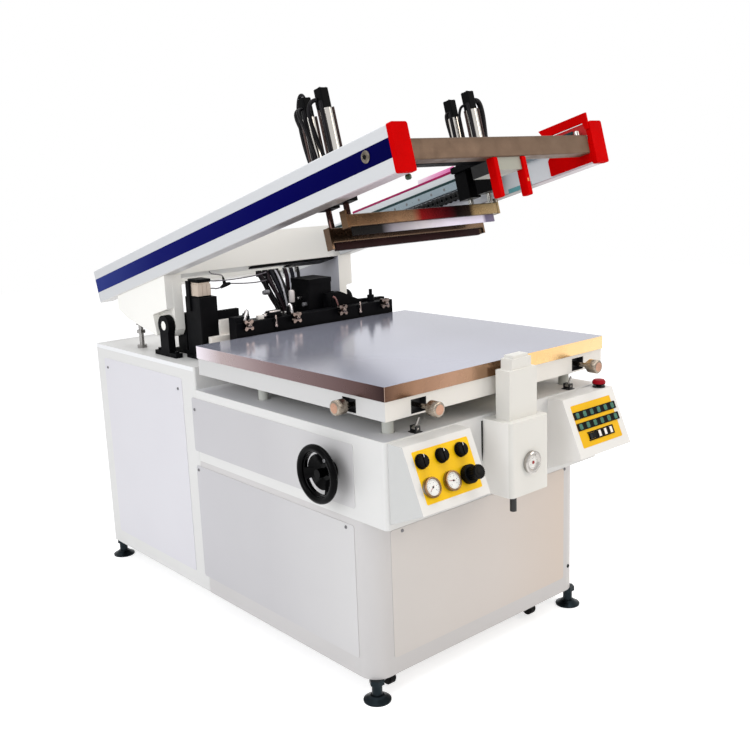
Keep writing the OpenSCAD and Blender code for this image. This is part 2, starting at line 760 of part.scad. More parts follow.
module carriage_beam() color(black) on_head() difference() {
    union() {
        bar_x([-rail_x + 8, rail_x - 8], carriage_y, carriage_z, 4);
        both() block([rail_x - 17, rail_x - 8], [carriage_y[0] + 8, carriage_y[1] - 8],
            [rail_z[1] + 0.4, carriage_z[0]]);
        both() block([rail_x - 40, rail_x - 18.6], [carriage_y[0] + 8, carriage_y[1] - 8],
            [rail_z[0], carriage_z[0]]);
    }
    for (sx = [-1, 1], y = [flood_y, squeegee_y]) translate([sx * cylinder_x, y, carriage_z[0] - 10])
        cylinder(h = 80, r = tube_r + 0.5);
}

module air_cylinder(y) {
    cap_z = cylinder_top - 52;
    translate([cylinder_x, y, 0]) difference() {
        union() {
            translate([-23, -23, cylinder_low]) cube([46, 46, carriage_z[0] - cylinder_low]);
            translate([0, 0, carriage_z[0]]) cylinder(h = cap_z - carriage_z[0], r = tube_r);
            children();
        }
        translate([0, 0, cylinder_low - 1]) cylinder(h = 170, r = rod_r + fit);
    }
}

// Head of a cylinder; it stands off the tube to the same side on both ends of the carriage
module cylinder_cap(x, y) {
    translate([x, y, cylinder_top - 52]) linear_extrude(52) translate([-3, 0]) round_rect(30, 28, 5);
}

module air_cylinders() color(black) on_head() {
    for (y = [flood_y, squeegee_y]) {
        both() air_cylinder(y);
        for (s = [-1, 1]) cylinder_cap(s * cylinder_x, y);
    }
    // Elbows that take the air hoses
    rod_x([cylinder_x + 12, cylinder_x + 22], flood_y, cylinder_top - 24, 8);
    for (y = [flood_y, squeegee_y]) rod_y(-cylinder_x - 4, [y + 14, y + 20], cylinder_top - 22, 7);
}

// Short air hoses between the cylinder heads and the carriage
module carriage_hoses() color(black) on_head() {
    beam_top_z = carriage_z[1] + 0.5;
    head_z = cylinder_top - 22;
    tube(hose_path([cylinder_x + 22.5, flood_y, head_z - 2], [cylinder_x + 30, flood_y + 2, beam_top_z],
        [40, 0, 6], [6, 0, 80]), 8);
    tube(hose_path([-cylinder_x - 4, squeegee_y + 20.5, head_z], [-cylinder_x + 20, carriage_y[1] - 10, beam_top_z],
        [-8, 56, 10], [0, 16, 90]), 6);
    tube(hose_path([-cylinder_x - 4, flood_y + 20.5, head_z], [-cylinder_x + 30, flood_y + 38, beam_top_z],
        [0, 20, 0], [0, 0, 80]), 4);
}

module flood_bar() color(steel) on_head() {
    bar_x([-282, 282], [flood_y - 11, flood_y + 11], [985, 1018], 3);
    both() {
        translate([cylinder_x, flood_y, 1016]) cylinder(h = 174, r = rod_r);
        block([282, 290], [flood_y - 12, flood_y + 12], [984, 1030]);
    }
}

module flood_blade() color(steel) on_head()
    block([-270, 270], [flood_y - 2, flood_y + 2], [964, 985]);

module squeegee_bar() color(steel) on_head() {
    difference() {
        bar_x([-286, 286], [squeegee_y - 13, squeegee_y + 13], [960, 1000], 3);
        block([-300, 300], [squeegee_y - 5, squeegee_y + 5], [950, 978]);
    }
    both() {
        translate([cylinder_x, squeegee_y, 998]) cylinder(h = 192, r = rod_r);
        block([286, 293], [squeegee_y - 12, squeegee_y + 12], [944, 1002]);
    }
}

module squeegee_blade() color(black) on_head()
    block([-275, 275], [squeegee_y - 5, squeegee_y + 5], [941, 978]);

rear_cabinet();
front_cabinet();
front_hood();
cover_panels();
levelling_feet();
rear_caster_forks();
rear_caster_wheels();
left_caster_fork();
left_caster_wheel();
right_caster_fork();
right_caster_wheel();
bearing_blocks();
drive_units();
register_bar();
left_console();
right_console();
control_bezels();
open_stops();
hose_bundle();
post_housing();
valve_knob_1();
valve_knob_2();
valve_knob_3();
regulator_knob();
left_toggle();
right_toggle();
stop_button();
power_switch();
start_key();
cycle_key();
vacuum_key();
hand_wheel();
lift_wedge();
lift_yoke();
table_slide();
table_frame();
table_slab();
x_adjust_knob();
y_adjust_knob_left();
y_adjust_knob_right();
head_post();
post_knob();
star_knob_1();
star_knob_2();
star_knob_3();
star_knob_4();
side_beams();
corner_caps();
front_beam();
head_latch();
swing_frame();
guide_rails();
drag_chain();
carriage_beam();
air_cylinders();
carriage_hoses();
flood_bar();
flood_blade();
squeegee_bar();
squeegee_blade();
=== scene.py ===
# %% [markdown]
# # A flatbed screen printer
# The machine is a sheet-metal cabinet with a levelled vacuum table, and a tilting head with a squeegee
# carriage that is hinged behind the table. Its solids come from the CAD frame. This lesson gives every
# solid its finish, and adds the pieces that a CAD model leaves out: hoses, screws, dials and trim.
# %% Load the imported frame
import math
import random

import bmesh
import bpy
from mathutils import Matrix, Vector
from mathutils.bvhtree import BVHTree


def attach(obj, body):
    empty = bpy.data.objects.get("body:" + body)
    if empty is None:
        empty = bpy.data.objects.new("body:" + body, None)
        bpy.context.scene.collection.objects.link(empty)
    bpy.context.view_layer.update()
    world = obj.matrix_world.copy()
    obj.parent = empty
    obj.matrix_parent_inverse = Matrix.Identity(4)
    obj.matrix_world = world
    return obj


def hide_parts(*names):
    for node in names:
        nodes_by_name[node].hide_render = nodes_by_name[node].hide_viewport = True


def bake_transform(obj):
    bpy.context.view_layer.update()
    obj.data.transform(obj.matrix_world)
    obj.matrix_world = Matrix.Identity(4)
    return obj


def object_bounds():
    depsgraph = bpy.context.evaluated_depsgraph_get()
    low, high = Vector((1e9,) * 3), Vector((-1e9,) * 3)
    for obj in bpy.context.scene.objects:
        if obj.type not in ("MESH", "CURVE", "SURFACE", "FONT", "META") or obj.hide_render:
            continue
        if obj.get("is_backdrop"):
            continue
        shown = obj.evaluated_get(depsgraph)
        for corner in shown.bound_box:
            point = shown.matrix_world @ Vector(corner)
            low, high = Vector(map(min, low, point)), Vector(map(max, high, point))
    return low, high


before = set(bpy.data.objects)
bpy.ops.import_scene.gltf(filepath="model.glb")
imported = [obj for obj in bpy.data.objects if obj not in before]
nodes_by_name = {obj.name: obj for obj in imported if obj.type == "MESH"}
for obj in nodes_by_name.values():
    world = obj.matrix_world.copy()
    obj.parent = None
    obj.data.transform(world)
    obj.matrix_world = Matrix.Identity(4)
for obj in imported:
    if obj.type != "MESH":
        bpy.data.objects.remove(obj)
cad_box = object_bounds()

MM = 0.001
HINGE = Vector((0, 300, 888))
OPEN_ANGLE = math.radians(15.2)
scene = bpy.context.scene
print("CAD nodes:", len(nodes_by_name))

# %% [markdown]
# The photograph was taken from the front left, a little above the table. Its view was found by matching
# the machine's edges to the picture, so the camera is placed from those numbers: where it stands, how far
# it is turned, tipped and rolled, and its focal length for a square picture.
# %% Camera
PICTURE_SIDE, FOCAL_PIXELS, SENSOR_WIDTH = 750, 978.1251, 36
CAMERA_PLACE = Vector((-1.897642, -2.475737, 1.378149))
CAMERA_TURN, CAMERA_TIP, CAMERA_ROLL = -0.7132211, 0.2155645, -0.0374042


def set_out(name, data):
    """A new object of the scene, at the origin."""
    made = bpy.data.objects.new(name, data)
    scene.collection.objects.link(made)
    return made


camera_data = bpy.data.cameras.new("photo_camera")
camera_data.sensor_width = SENSOR_WIDTH
camera_data.lens = FOCAL_PIXELS / PICTURE_SIDE * SENSOR_WIDTH
camera_data.clip_start, camera_data.clip_end = 0.05, 60
toward = Vector((math.sin(CAMERA_TURN) * math.cos(CAMERA_TIP), -math.cos(CAMERA_TURN) * math.cos(CAMERA_TIP),
                 math.sin(CAMERA_TIP)))
side = Vector((math.cos(CAMERA_TURN), math.sin(CAMERA_TURN), 0))
above = toward.cross(side)
rolled_side = side * math.cos(CAMERA_ROLL) + above * math.sin(CAMERA_ROLL)
rolled_above = above * math.cos(CAMERA_ROLL) - side * math.sin(CAMERA_ROLL)
scene.camera = set_out("photo_camera", camera_data)
scene.camera.matrix_world = Matrix.Translation(CAMERA_PLACE) @ Matrix(
    (rolled_side, rolled_above, toward)).transposed().to_4x4()
print("lens:", round(camera_data.lens, 2), "mm")

# %% [markdown]
# The machine stands in a white studio. The world is soft light from everywhere, and it shows itself as
# plain white to the camera and to mirrors. Three large lamps give the sides their slightly different tones:
# a cool one on the left, a warm one on the right, a plain one overhead. The floor keeps a soft shadow.
# Materials are trees of nodes, so one helper that makes a node with its settings and links serves them all.
# %% Light and floor
ROOM_LIGHT, FLOOR_GLOW, FLOOR_HALF = 0.64, 0.6, 9.0


def feed(tree, node, inputs):
    """Gives inputs of a node their values; a value may be the output of another node."""
    for name, value in inputs.items():
        if isinstance(value, bpy.types.NodeSocket):
            tree.links.new(value, node.inputs[name])
        else:
            node.inputs[name].default_value = value


def add(tree, kind, inputs=None, **settings):
    made = tree.nodes.new(kind)
    for name, value in settings.items():
        setattr(made, name, value)
    feed(tree, made, inputs or {})
    return made


def reckon(tree, operation, *values):
    return add(tree, "ShaderNodeMath", dict(enumerate(values)), operation=operation).outputs[0]


def bare_tree(owner):
    owner.use_nodes = True
    owner.node_tree.nodes.clear()
    return owner.node_tree


def background_rays(tree):
    """1 for rays that show the background: from the camera, off gloss or through glass."""
    ray = add(tree, "ShaderNodeLightPath").outputs
    seen = reckon(tree, "MAXIMUM", ray["Is Camera Ray"], ray["Is Glossy Ray"])
    return reckon(tree, "MAXIMUM", seen, ray["Is Transmission Ray"])


scene.view_settings.view_transform = "Standard"
scene.world = bpy.data.worlds.new("studio")
tree = bare_tree(scene.world)
room = add(tree, "ShaderNodeBackground", {"Color": (0.97, 0.98, 1.0, 1), "Strength": ROOM_LIGHT})
white = add(tree, "ShaderNodeBackground", {"Color": (1, 1, 1, 1)})
shown = add(tree, "ShaderNodeMixShader", {"Fac": background_rays(tree), 1: room.outputs[0], 2: white.outputs[0]})
add(tree, "ShaderNodeOutputWorld", {"Surface": shown.outputs[0]})


def lamp(name, place, target, size, power, colour):
    data = bpy.data.lights.new(name, "AREA")
    data.shape, data.size, data.energy, data.color = "DISK", size, power, colour
    made = set_out(name, data)
    made.location = place
    made.rotation_mode = "QUATERNION"
    made.rotation_quaternion = (Vector(target) - Vector(place)).to_track_quat("-Z", "Y")


lamp("cool_left", (-4.5, -1.2, 2.6), (0, -0.1, 0.8), 3.0, 80, (0.96, 0.98, 1.0))
lamp("warm_right", (2.6, -4.4, 2.6), (0.1, -0.2, 0.6), 2.6, 60, (1.0, 0.9, 0.78))
lamp("overhead", (0.2, -0.6, 4.6), (0, 0, 0.8), 3.4, 88, (1, 1, 1))

floor_mesh = bpy.data.meshes.new("floor")
floor_mesh.from_pydata([(x * FLOOR_HALF, y * FLOOR_HALF, 0) for x, y in ((-1, -1), (1, -1), (1, 1), (-1, 1))],
                       [], [(0, 1, 2, 3)])
floor_mesh.materials.append(bpy.data.materials.new("studio_floor"))
tree = bare_tree(floor_mesh.materials[0])
matt = add(tree, "ShaderNodeBsdfDiffuse", {"Color": (0.82, 0.82, 0.82, 1)})
glow = add(tree, "ShaderNodeEmission", {"Strength": reckon(tree, "MULTIPLY", background_rays(tree), FLOOR_GLOW)})
both = add(tree, "ShaderNodeAddShader", {0: matt.outputs[0], 1: glow.outputs[0]})
add(tree, "ShaderNodeOutputMaterial", {"Surface": both.outputs[0]})
set_out("floor", floor_mesh)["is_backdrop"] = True
print("lamps:", len(bpy.data.lights), "floor side:", 2 * FLOOR_HALF, "m")

# %% [markdown]
# Every finish here starts from one recipe: a base colour that drifts a little over the part, a roughness
# that drifts with it, and a fine grain in the bump. Powder paint has a pebbled grain of about a
# millimetre, ground steel has a grain that is stretched along the part, rubber is dull and nearly black.
# Reading Object coordinates keeps the grain at its real size on every part. The finishes are kept under
# their names, because the frame has materials of its own that are called the same.
# %% Finish recipe
finishes = {}


def tone(colour):
    """A screen colour, 0 to 255, as the linear colour that a shader wants."""
    return (*((c / 255 / 12.92) if c <= 10 else ((c / 255 + 0.055) / 1.055) ** 2.4 for c in colour), 1)


def dimmed(colour, share):
    return (*(min(c * share, 1) for c in colour[:3]), 1)


def noise(tree, coords, scale, detail):
    return add(tree, "ShaderNodeTexNoise", {"Vector": coords, "Scale": scale, "Detail": detail}).outputs["Fac"]


def spread(tree, value, low, high, from_low=0.3, from_high=0.7):
    return add(tree, "ShaderNodeMapRange", {"Value": value, "From Min": from_low, "From Max": from_high,
                                            "To Min": low, "To Max": high}).outputs["Result"]


def mix(tree, share, first, second, kind="RGBA"):
    return add(tree, "ShaderNodeMix", {"Factor": share, "A": first, "B": second}, data_type=kind).outputs["Result"]


def finish(name, colour, rough, metal=0.0, drift=0.05, patch=0.25, grain=0.15, specular=0.5, grain_size=0.0012,
           stretch=(1, 1, 1), rough_drift=0.06, wear=None):
    """One procedural finish; lengths in metres. wear is a colour that shows in fine scattered marks."""
    finishes[name] = material = bpy.data.materials.new(name)
    material.use_nodes = True
    tree = material.node_tree
    coords = add(tree, "ShaderNodeTexCoord").outputs["Object"]
    stretched = add(tree, "ShaderNodeMapping", {"Vector": coords, "Scale": stretch}).outputs[0]
    blotch = spread(tree, noise(tree, stretched, 1 / patch, 4), 0, 1)
    base = mix(tree, blotch, dimmed(tone(colour), 1 - drift), dimmed(tone(colour), 1 + drift))
    if wear:
        marks = spread(tree, noise(tree, stretched, 0.35 / grain_size, 5), 0, 0.6, 0.66, 0.8)
        base = mix(tree, marks, base, tone(wear))
    smudge = spread(tree, noise(tree, coords, 3 / patch, 3), max(rough - rough_drift, 0.02), rough + rough_drift)
    bump = add(tree, "ShaderNodeBump", {"Strength": grain, "Distance": grain_size * 0.2,
                                        "Height": noise(tree, stretched, 1 / grain_size, 3)})
    feed(tree, tree.nodes["Principled BSDF"], {
        "Base Color": base, "Roughness": smudge, "Metallic": metal, "Specular IOR Level": specular,
        "Normal": bump.outputs["Normal"]})
    return name


def paint(name, colour, rough=0.42, drift=0.025, patch=0.5, grain=0.25):
    """Powder paint: its pebbles are coarser than the grain of metal."""
    return finish(name, colour, rough, 0, drift, patch, grain, grain_size=0.0016)


print("recipes: finish, paint")

# %% [markdown]
# One solid often has two finishes on the real machine, such as the beige relay on its black base. A mask
# that is 1 inside limits of Object coordinates paints the second one by place, and a ramp along an axis
# gives a tone that drifts from end to end. The same masks and ramps also paint light, shade and reflections
# by place. The head is modelled open, so its zones are read in coordinates that are turned back level first.
# %% Zones and ramps


def zone(tree, level, limits):
    coords = add(tree, "ShaderNodeTexCoord").outputs["Object"]
    if level:
        coords = add(tree, "ShaderNodeVectorRotate", {"Vector": coords, "Center": HINGE * MM, "Angle": OPEN_ANGLE},
                     rotation_type="X_AXIS").outputs["Vector"]
    split = add(tree, "ShaderNodeSeparateXYZ", {0: coords}).outputs
    mask = None
    for axis, (low, high) in limits.items():
        inside = reckon(tree, "COMPARE", split["xyz".index(axis)], (low + high) / 2, (high - low) / 2)
        mask = reckon(tree, "MULTIPLY", mask, inside) if mask else inside
    return mask


def ramp(tree, axis, stops):
    """A colour that changes along an axis of the part; stops are (metres, screen colour)."""
    split = add(tree, "ShaderNodeSeparateXYZ", {0: add(tree, "ShaderNodeTexCoord").outputs["Object"]}).outputs
    low, high = stops[0][0], stops[-1][0]
    made = add(tree, "ShaderNodeValToRGB", {"Fac": spread(tree, split["xyz".index(axis)], 0, 1, low, high)})
    while len(made.color_ramp.elements) < len(stops):
        made.color_ramp.elements.new(0.5)
    for element, (place, colour) in zip(made.color_ramp.elements, stops):
        element.position, element.color = (place - low) / (high - low), tone(colour)
    return made.outputs["Color"]


def recolour(name, colour, rough=None, metal=None, level=False, share=1.0, **limits):
    """Paints over a finish inside limits such as z=(low, high) in metres, or everywhere by a share. The
    colour may be a ramp, as (axis, stops)."""
    tree = finishes[name].node_tree
    shader = tree.nodes["Principled BSDF"]
    mask = zone(tree, level, limits) or share
    colour = ramp(tree, *colour) if isinstance(colour[0], str) else tone(colour)
    for socket, value, kind in (("Base Color", colour, "RGBA"), ("Roughness", rough, "FLOAT"),
                                ("Metallic", metal, "FLOAT")):
        if value is not None:
            old = shader.inputs[socket]
            under = old.links[0].from_socket if old.is_linked else old.default_value
            feed(tree, shader, {socket: mix(tree, mask, under, value, kind)})


print("tools: zone, ramp, recolour")

# %% [markdown]
# The paint is off-white powder coat. White sheet is never one tone, because it mirrors the room a little:
# it is darker towards the middle of the left side, lighter at the rear and warmer to the right. Those drifts
# are painted reflection and shade, by place. Some single faces are painted lighter or darker as light and
# shade, the deck under the table is painted light and shade, and the dark insides of the frame's pockets
# are painted shade.
# %% White paints
WHITE = (222, 221, 219)
POCKET_SHADE = (30, 30, 32)
LEFT_PANEL, FRONT_PANEL = (-0.4222, -0.4208), (-0.7252, -0.7238)
paint("white_paint", WHITE)
# Painted highlight along the top edge of the rear cabinet's left face.
recolour("white_paint", (238, 238, 239), x=(-0.4205, -0.4195), z=(0.776, 0.789))
paint("panel_paint", (203, 200, 199), drift=0.03)
# Painted reflection and shade on the left panels: darker towards the middle.
recolour("panel_paint", ("y", [(-0.73, (211, 209, 209)), (-0.6, (208, 206, 206)), (-0.28, (194, 192, 194)),
                               (0.1, (195, 193, 196))]), x=LEFT_PANEL)
# Painted light: the rear panels lighter.
recolour("panel_paint", (219, 217, 222), x=(-0.4222, 0.4222), y=(0.12, 0.72))
# Painted warm light: the front panel warmer towards the right.
recolour("panel_paint", ("x", [(-0.4, (208, 203, 199)), (0.05, (211, 203, 197)), (0.4, (211, 196, 183))]),
         x=(-0.4, 0.4), y=FRONT_PANEL)
paint("console_paint", (225, 223, 219), patch=0.4)
# Painted shade on the left console's left side and painted light on the right console's left side.
recolour("console_paint", (202, 202, 200), x=(-0.4105, -0.4095))
recolour("console_paint", (238, 236, 233), x=(0.1895, 0.1905))
paint("hood_paint", WHITE)
# Painted light and shade on the deck under the table: darker to the left, lighter to the right.
recolour("hood_paint", ("x", [(-0.42, (204, 204, 208)), (0.0, (236, 232, 226)), (0.42, (252, 246, 240))]), 0.5,
         z=(0.7195, 0.7205), x=(-0.4165, 0.4165), y=(-0.788, 0.07))
paint("frame_paint", (211, 210, 208))
# Painted shade inside the frame's pockets.
recolour("frame_paint", POCKET_SHADE, 0.6, x=(-0.4205, -0.398), y=(-0.6941, -0.6419), z=(0.7769, 0.8131))
for x in (-0.312, 0.312):
    recolour("frame_paint", POCKET_SHADE, 0.6, x=(x - 0.0261, x + 0.0261), y=(-0.7995, -0.77), z=(0.7769, 0.8131))
# Painted shade on the frame's left face and painted light on its front face.
recolour("frame_paint", (205, 204, 203), x=LEFT_PANEL)
recolour("frame_paint", (232, 228, 221), y=(-0.8016, -0.8004))
paint("post_paint", (226, 224, 218), 0.4, 0.02, 0.3, 0.2)
recolour("post_paint", (14, 14, 15), 0.5, z=(0.40, 0.5119), x=(-0.045, -0.015))
# Painted light on the post housing's left face.
recolour("post_paint", (243, 241, 237), x=(-0.0765, -0.0755))
print("paints:", len(finishes))

# %% [markdown]
# The head's beams and arms have the same powder coat. The underside of a beam is painted darker, as painted
# reflection of the dark table below and painted shade, and the left beam's outer face is painted a little
# darker as shade. The right beam is red inside by its corner. The arms take a lighter copy of the paint as
# painted light, and the cross box above them and the inner side of the right arm are painted darker as
# shade. The caps of the corners are dull red.
# %% Paints of the head
paint("beam_paint", (216, 218, 220), 0.36, 0.02, 0.4, 0.2)
# Painted reflection and shade on the beams' undersides, darkest over the table.
recolour("beam_paint", ("y", [(-0.80, (202, 190, 194)), (-0.63, (180, 166, 168)), (-0.60, (126, 118, 112)),
                              (-0.37, (124, 116, 112)), (-0.30, (190, 186, 184)), (0.30, (214, 212, 210))]),
         level=True, z=(1.0365, 1.0395))
recolour("beam_paint", (190, 0, 2), 0.6, level=True, x=(0.334, 0.3386), y=(-0.93, -0.74), z=(1.116, 1.166))
# Painted shade on the left beam's outer face.
recolour("beam_paint", (206, 207, 209), x=(-0.3885, -0.3875))
# A lighter copy of the beams' paint, as painted light on the arms.
paint("arm_paint", (250, 248, 242), 0.4, 0.02, 0.4, 0.2)
# Painted shade on the cross box and on the right arm's inner face.
recolour("arm_paint", (229, 226, 219), level=True, z=(1.036, 1.2))
recolour("arm_paint", (178, 179, 188), level=True, x=(0.3212, 0.3228), z=(0.85, 1.0365))
finish("red_skin", (196, 0, 1), 0.6, 0, 0.1, 0.08, 0.12, 0.02)
print("finishes:", len(finishes))

# %% [markdown]
# Bright parts are ground stainless steel, plated steel and chrome, which differ in grain and in how sharply
# they mirror the room. The cylinders are chrome tubes between black end blocks, and the gauge bodies share
# one solid with the black toggle ears and the black collar of the stop button.
# %% Steels and chromes
LONG_GRAIN = (0.1, 1, 1)
# The front beam's warm brown is painted reflection of brown surroundings on ground stainless steel.
finish("ground_steel", (96, 76, 60), 0.5, 0.6, 0.3, 0.1, 0.35, stretch=(0.05, 1, 1), rough_drift=0.1)
finish("chrome", (176, 172, 168), 0.1, 1, 0.1, 0.05, 0.03, rough_drift=0.03)
finish("plated_steel", (150, 148, 146), 0.3, 1, 0.12, 0.05, 0.15, wear=(110, 96, 84))
finish("foot_steel", (34, 41, 45), 0.36, 1, 0.2, 0.05, 0.2, wear=(44, 36, 32))
finish("star_chrome", (116, 104, 99), 0.16, 1, 0.2, 0.02, 0.05)
finish("aluminium", (142, 156, 164), 0.3, 1, 0.08, 0.1, 0.2, stretch=(1, 0.06, 1))
finish("rod_chrome", (200, 196, 190), 0.12, 1, 0.06, 0.1, 0.04, 0.03)
for end_block in ((1.02, 1.1325), (1.2955, 1.42)):
    recolour("rod_chrome", (12, 12, 13), 0.4, 0.0, level=True, z=end_block)
finish("bezel_metal", (150, 148, 146), 0.3, 1, 0.12, 0.05)
recolour("bezel_metal", (10, 10, 11), 0.5, 0.0, x=(0.367, 0.407), z=(0.7165, 0.73))
recolour("bezel_metal", (20, 20, 21), 0.4, 0.0, x=(-0.33, 0.33), y=(-0.80, -0.74), z=(0.7185, 0.76))
print("finishes:", len(finishes))

# %% [markdown]
# The table's top is a hard laminate skin that is bonded on a steel-edged slab. Both are one solid in
# the frame, so the slab's finish holds two: a satin grey with a breath of violet on top, and polished
# steel round the sides. The polished edge carries painted reflections: darkest by the near corner and
# goldener to the right along the front, and pale towards the rear along the left side.
# %% Table finish
finish("slab_steel", (160, 138, 124), 0.24, 1, 0.2, 0.2, 0.2, grain_size=0.001, stretch=(0.15, 0.15, 1),
       rough_drift=0.08)
# Painted reflection along the front edge: dark at the near corner, golden to the right.
recolour("slab_steel", ("x", [(-0.43, (84, 62, 52)), (-0.36, (128, 98, 78)), (-0.2, (160, 126, 104)),
                              (0.0, (150, 120, 92)), (0.1, (230, 188, 130)), (0.43, (240, 208, 156))]),
         y=(-0.806, -0.804))
# Painted reflection along the left edge: dark at the front, pale at the rear.
recolour("slab_steel", ("y", [(-0.81, (38, 24, 24)), (-0.72, (82, 62, 60)), (-0.35, (126, 106, 107)),
                              (-0.1, (170, 154, 154)), (0.04, (232, 224, 232))]), x=(-0.427, -0.4245))
recolour("slab_steel", ("x", [(-0.43, (184, 186, 202)), (-0.1, (176, 178, 194)), (0.2, (162, 163, 178)),
                              (0.43, (160, 161, 176))]), 0.15, 0.5, z=(0.8597, 0.8603))
print("table finish: steel edge, laminate top")

# %% [markdown]
# The bars that carry the blades are polished steel and mirror what is round them: brown where they face the
# floor, dark red near the red tabs, brass to the right. These are painted reflections: colours that change
# along the bar stand for that in any light. The rods above are chrome with painted reflections, dark on the
# left and pale on the right, and the flood blade's painted reflection runs from black at its left end to
# white towards its right.
# %% Bars and blades
finish("bar_steel", (96, 78, 64), 0.26, 1, 0.3, 0.12, 0.08, grain_size=0.001, stretch=LONG_GRAIN, rough_drift=0.05)
finish("flood_steel", (112, 88, 66), 0.26, 1, 0.2, 0.1, 0.08, stretch=LONG_GRAIN)
# Painted reflections along the flood bar: brown, dark red by the red tabs, black, then brass.
recolour("flood_steel", ("x", [(-0.29, (100, 78, 58)), (-0.06, (92, 72, 56)), (-0.025, (88, 10, 12)),
                               (0.075, (56, 6, 14)), (0.115, (14, 8, 8)), (0.165, (26, 18, 12)),
                               (0.185, (116, 98, 70)), (0.29, (128, 112, 84))]), level=True, z=(0.98, 1.0185))
# Painted reflections on the rods: dark brown on the left, pale on the right.
for name, rod_foot in (("flood_steel", 1.0185), ("bar_steel", 1.0005)):
    for rod, colour in (((-0.286, -0.258), (74, 54, 50)), ((0.258, 0.286), (196, 194, 188))):
        recolour(name, colour, 0.14, 1.0, level=True, x=rod, z=(rod_foot, 1.2))
finish("flood_blade_steel", (220, 216, 228), 0.3, 0.05, 0.05, 0.25, 0.1, 0.08, stretch=LONG_GRAIN)
# Painted reflection on the flood blade: black at its left end, white towards its right.
recolour("flood_blade_steel", ("x", [
    (-0.27, (4, 4, 6)), (-0.17, (10, 9, 13)), (-0.13, (150, 146, 156)), (-0.02, (206, 202, 208)),
    (0.08, (236, 230, 246)), (0.22, (232, 226, 246)), (0.235, (110, 102, 130)), (0.27, (120, 112, 134))]),
         level=True, z=(0.95, 0.99))
finish("blade_rubber", (40, 16, 18), 0.35, 0, 0.25, 0.08, 0.06, 0.05)
print("finishes:", len(finishes))

# %% [markdown]
# The black parts are painted steel or moulded plastic, and both reflect little. The white keys have dark
# gaps beside them, which belong to their solids, and the stop button has a dark stem.
# %% Blacks, rubbers and keys
finish("black_steel", (14, 14, 16), 0.46, 0, 0.3, 0.1, 0.3, 0.03)
finish("black_plastic", (9, 9, 10), 0.34, 0, 0.3, 0.1, 0.1, 0.08)
finish("wheel_plastic", (5, 5, 6), 0.2, 0, 0.3, 0.1, 0.04, 0.05)
finish("rubber", (13, 12, 13), 0.6, 0, 0.3, 0.05, 0.25, 0.08)
finish("hose_skin", (20, 18, 21), 0.3, 0, 0.4, 0.05, 0.08, 0.1)
finish("unit_black", (13, 13, 15), 0.45, 0, 0.3, 0.08, 0.25, 0.04)
recolour("unit_black", (208, 192, 176), 0.4, 0.0, x=(-0.3365, -0.2875), y=(0.1492, 0.2068), z=(0.988, 1.031))
finish("slide_grey", (200, 201, 194), 0.5, 0, 0.06, grain=0.3)
finish("latch_grey", (150, 150, 138), 0.45, 0, 0.06, grain=0.3)
# Painted shade on the latch's left face.
recolour("latch_grey", (10, 10, 11), 0.5, x=(-0.0458, -0.044))
finish("key_white", (236, 230, 222), 0.3, 0, 0.03, 0.03, 0.06)
for key_x in (0.296, 0.322, 0.348):
    for gap_x in (key_x - 0.007, key_x + 0.007):
        recolour("key_white", (24, 16, 14), x=(gap_x - 0.0018, gap_x + 0.0018), y=(-0.92, -0.84))
finish("stop_red", (150, 8, 26), 0.4, 0, 0.1, 0.03, 0.08, 0.1)
recolour("stop_red", (12, 8, 9), 0.4, z=(0.70, 0.7285))
print("finishes:", len(finishes))

# %% [markdown]
# Each solid of the frame now takes its finish. A table of finish and nodes is the plainest way to see
# that none is left out.
# %% Dress the solids
DRESSING = {
    "white_paint": "rear_cabinet",
    "panel_paint": "front_cabinet cover_panels",
    "console_paint": "left_console right_console",
    "frame_paint": "table_frame",
    "hood_paint": "front_hood",
    "beam_paint": "side_beams",
    "arm_paint": "swing_frame",
    "post_paint": "head_post post_housing",
    "slide_grey": "table_slide lift_yoke",
    "latch_grey": "head_latch",
    "star_chrome": "star_knob_1 star_knob_2 star_knob_3 star_knob_4",
    "slab_steel": "table_slab",
    "ground_steel": "front_beam",
    "bar_steel": "squeegee_bar",
    "flood_steel": "flood_bar",
    "flood_blade_steel": "flood_blade",
    "blade_rubber": "squeegee_blade",
    "foot_steel": "levelling_feet",
    "bezel_metal": "control_bezels",
    "plated_steel": "rear_caster_forks left_caster_fork right_caster_fork open_stops lift_wedge",
    "chrome": "post_knob x_adjust_knob y_adjust_knob_left y_adjust_knob_right left_toggle right_toggle",
    "rod_chrome": "air_cylinders",
    "aluminium": "guide_rails",
    "black_steel": "bearing_blocks register_bar carriage_beam",
    "unit_black": "drive_units",
    "black_plastic": "drag_chain valve_knob_1 valve_knob_2 valve_knob_3 regulator_knob power_switch",
    "wheel_plastic": "hand_wheel",
    "rubber": "rear_caster_wheels left_caster_wheel right_caster_wheel",
    "hose_skin": "hose_bundle carriage_hoses",
    "red_skin": "corner_caps",
    "stop_red": "stop_button",
    "key_white": "start_key cycle_key vacuum_key",
}


def dress(mesh, name):
    mesh.materials.clear()
    mesh.materials.append(finishes[name])


dressed = set()
for name, solids in DRESSING.items():
    for solid in solids.split():
        dress(nodes_by_name[solid].data, name)
        dressed.add(solid)
print("dressed:", len(dressed), "left:", sorted(set(nodes_by_name) - dressed))

# %% [markdown]
# The pieces below are built in millimetres, which are the frame's own drawing units, and turned into
# metres at the end. A piece on the head is drawn level and then tilted with it; a piece on a console is
# drawn flat on the sloped face.
# %% Places
UPRIGHT = Matrix.Identity(4)
HEAD = Matrix.Translation(HINGE) @ Matrix.Rotation(-OPEN_ANGLE, 4, "X") @ Matrix.Translation(-HINGE)
CONSOLE_TOP = (-843, 717)
CONSOLE_RUN, CONSOLE_DROP = 67, 155
FACE_TURN = math.radians(90) - math.atan2(CONSOLE_RUN, CONSOLE_DROP)


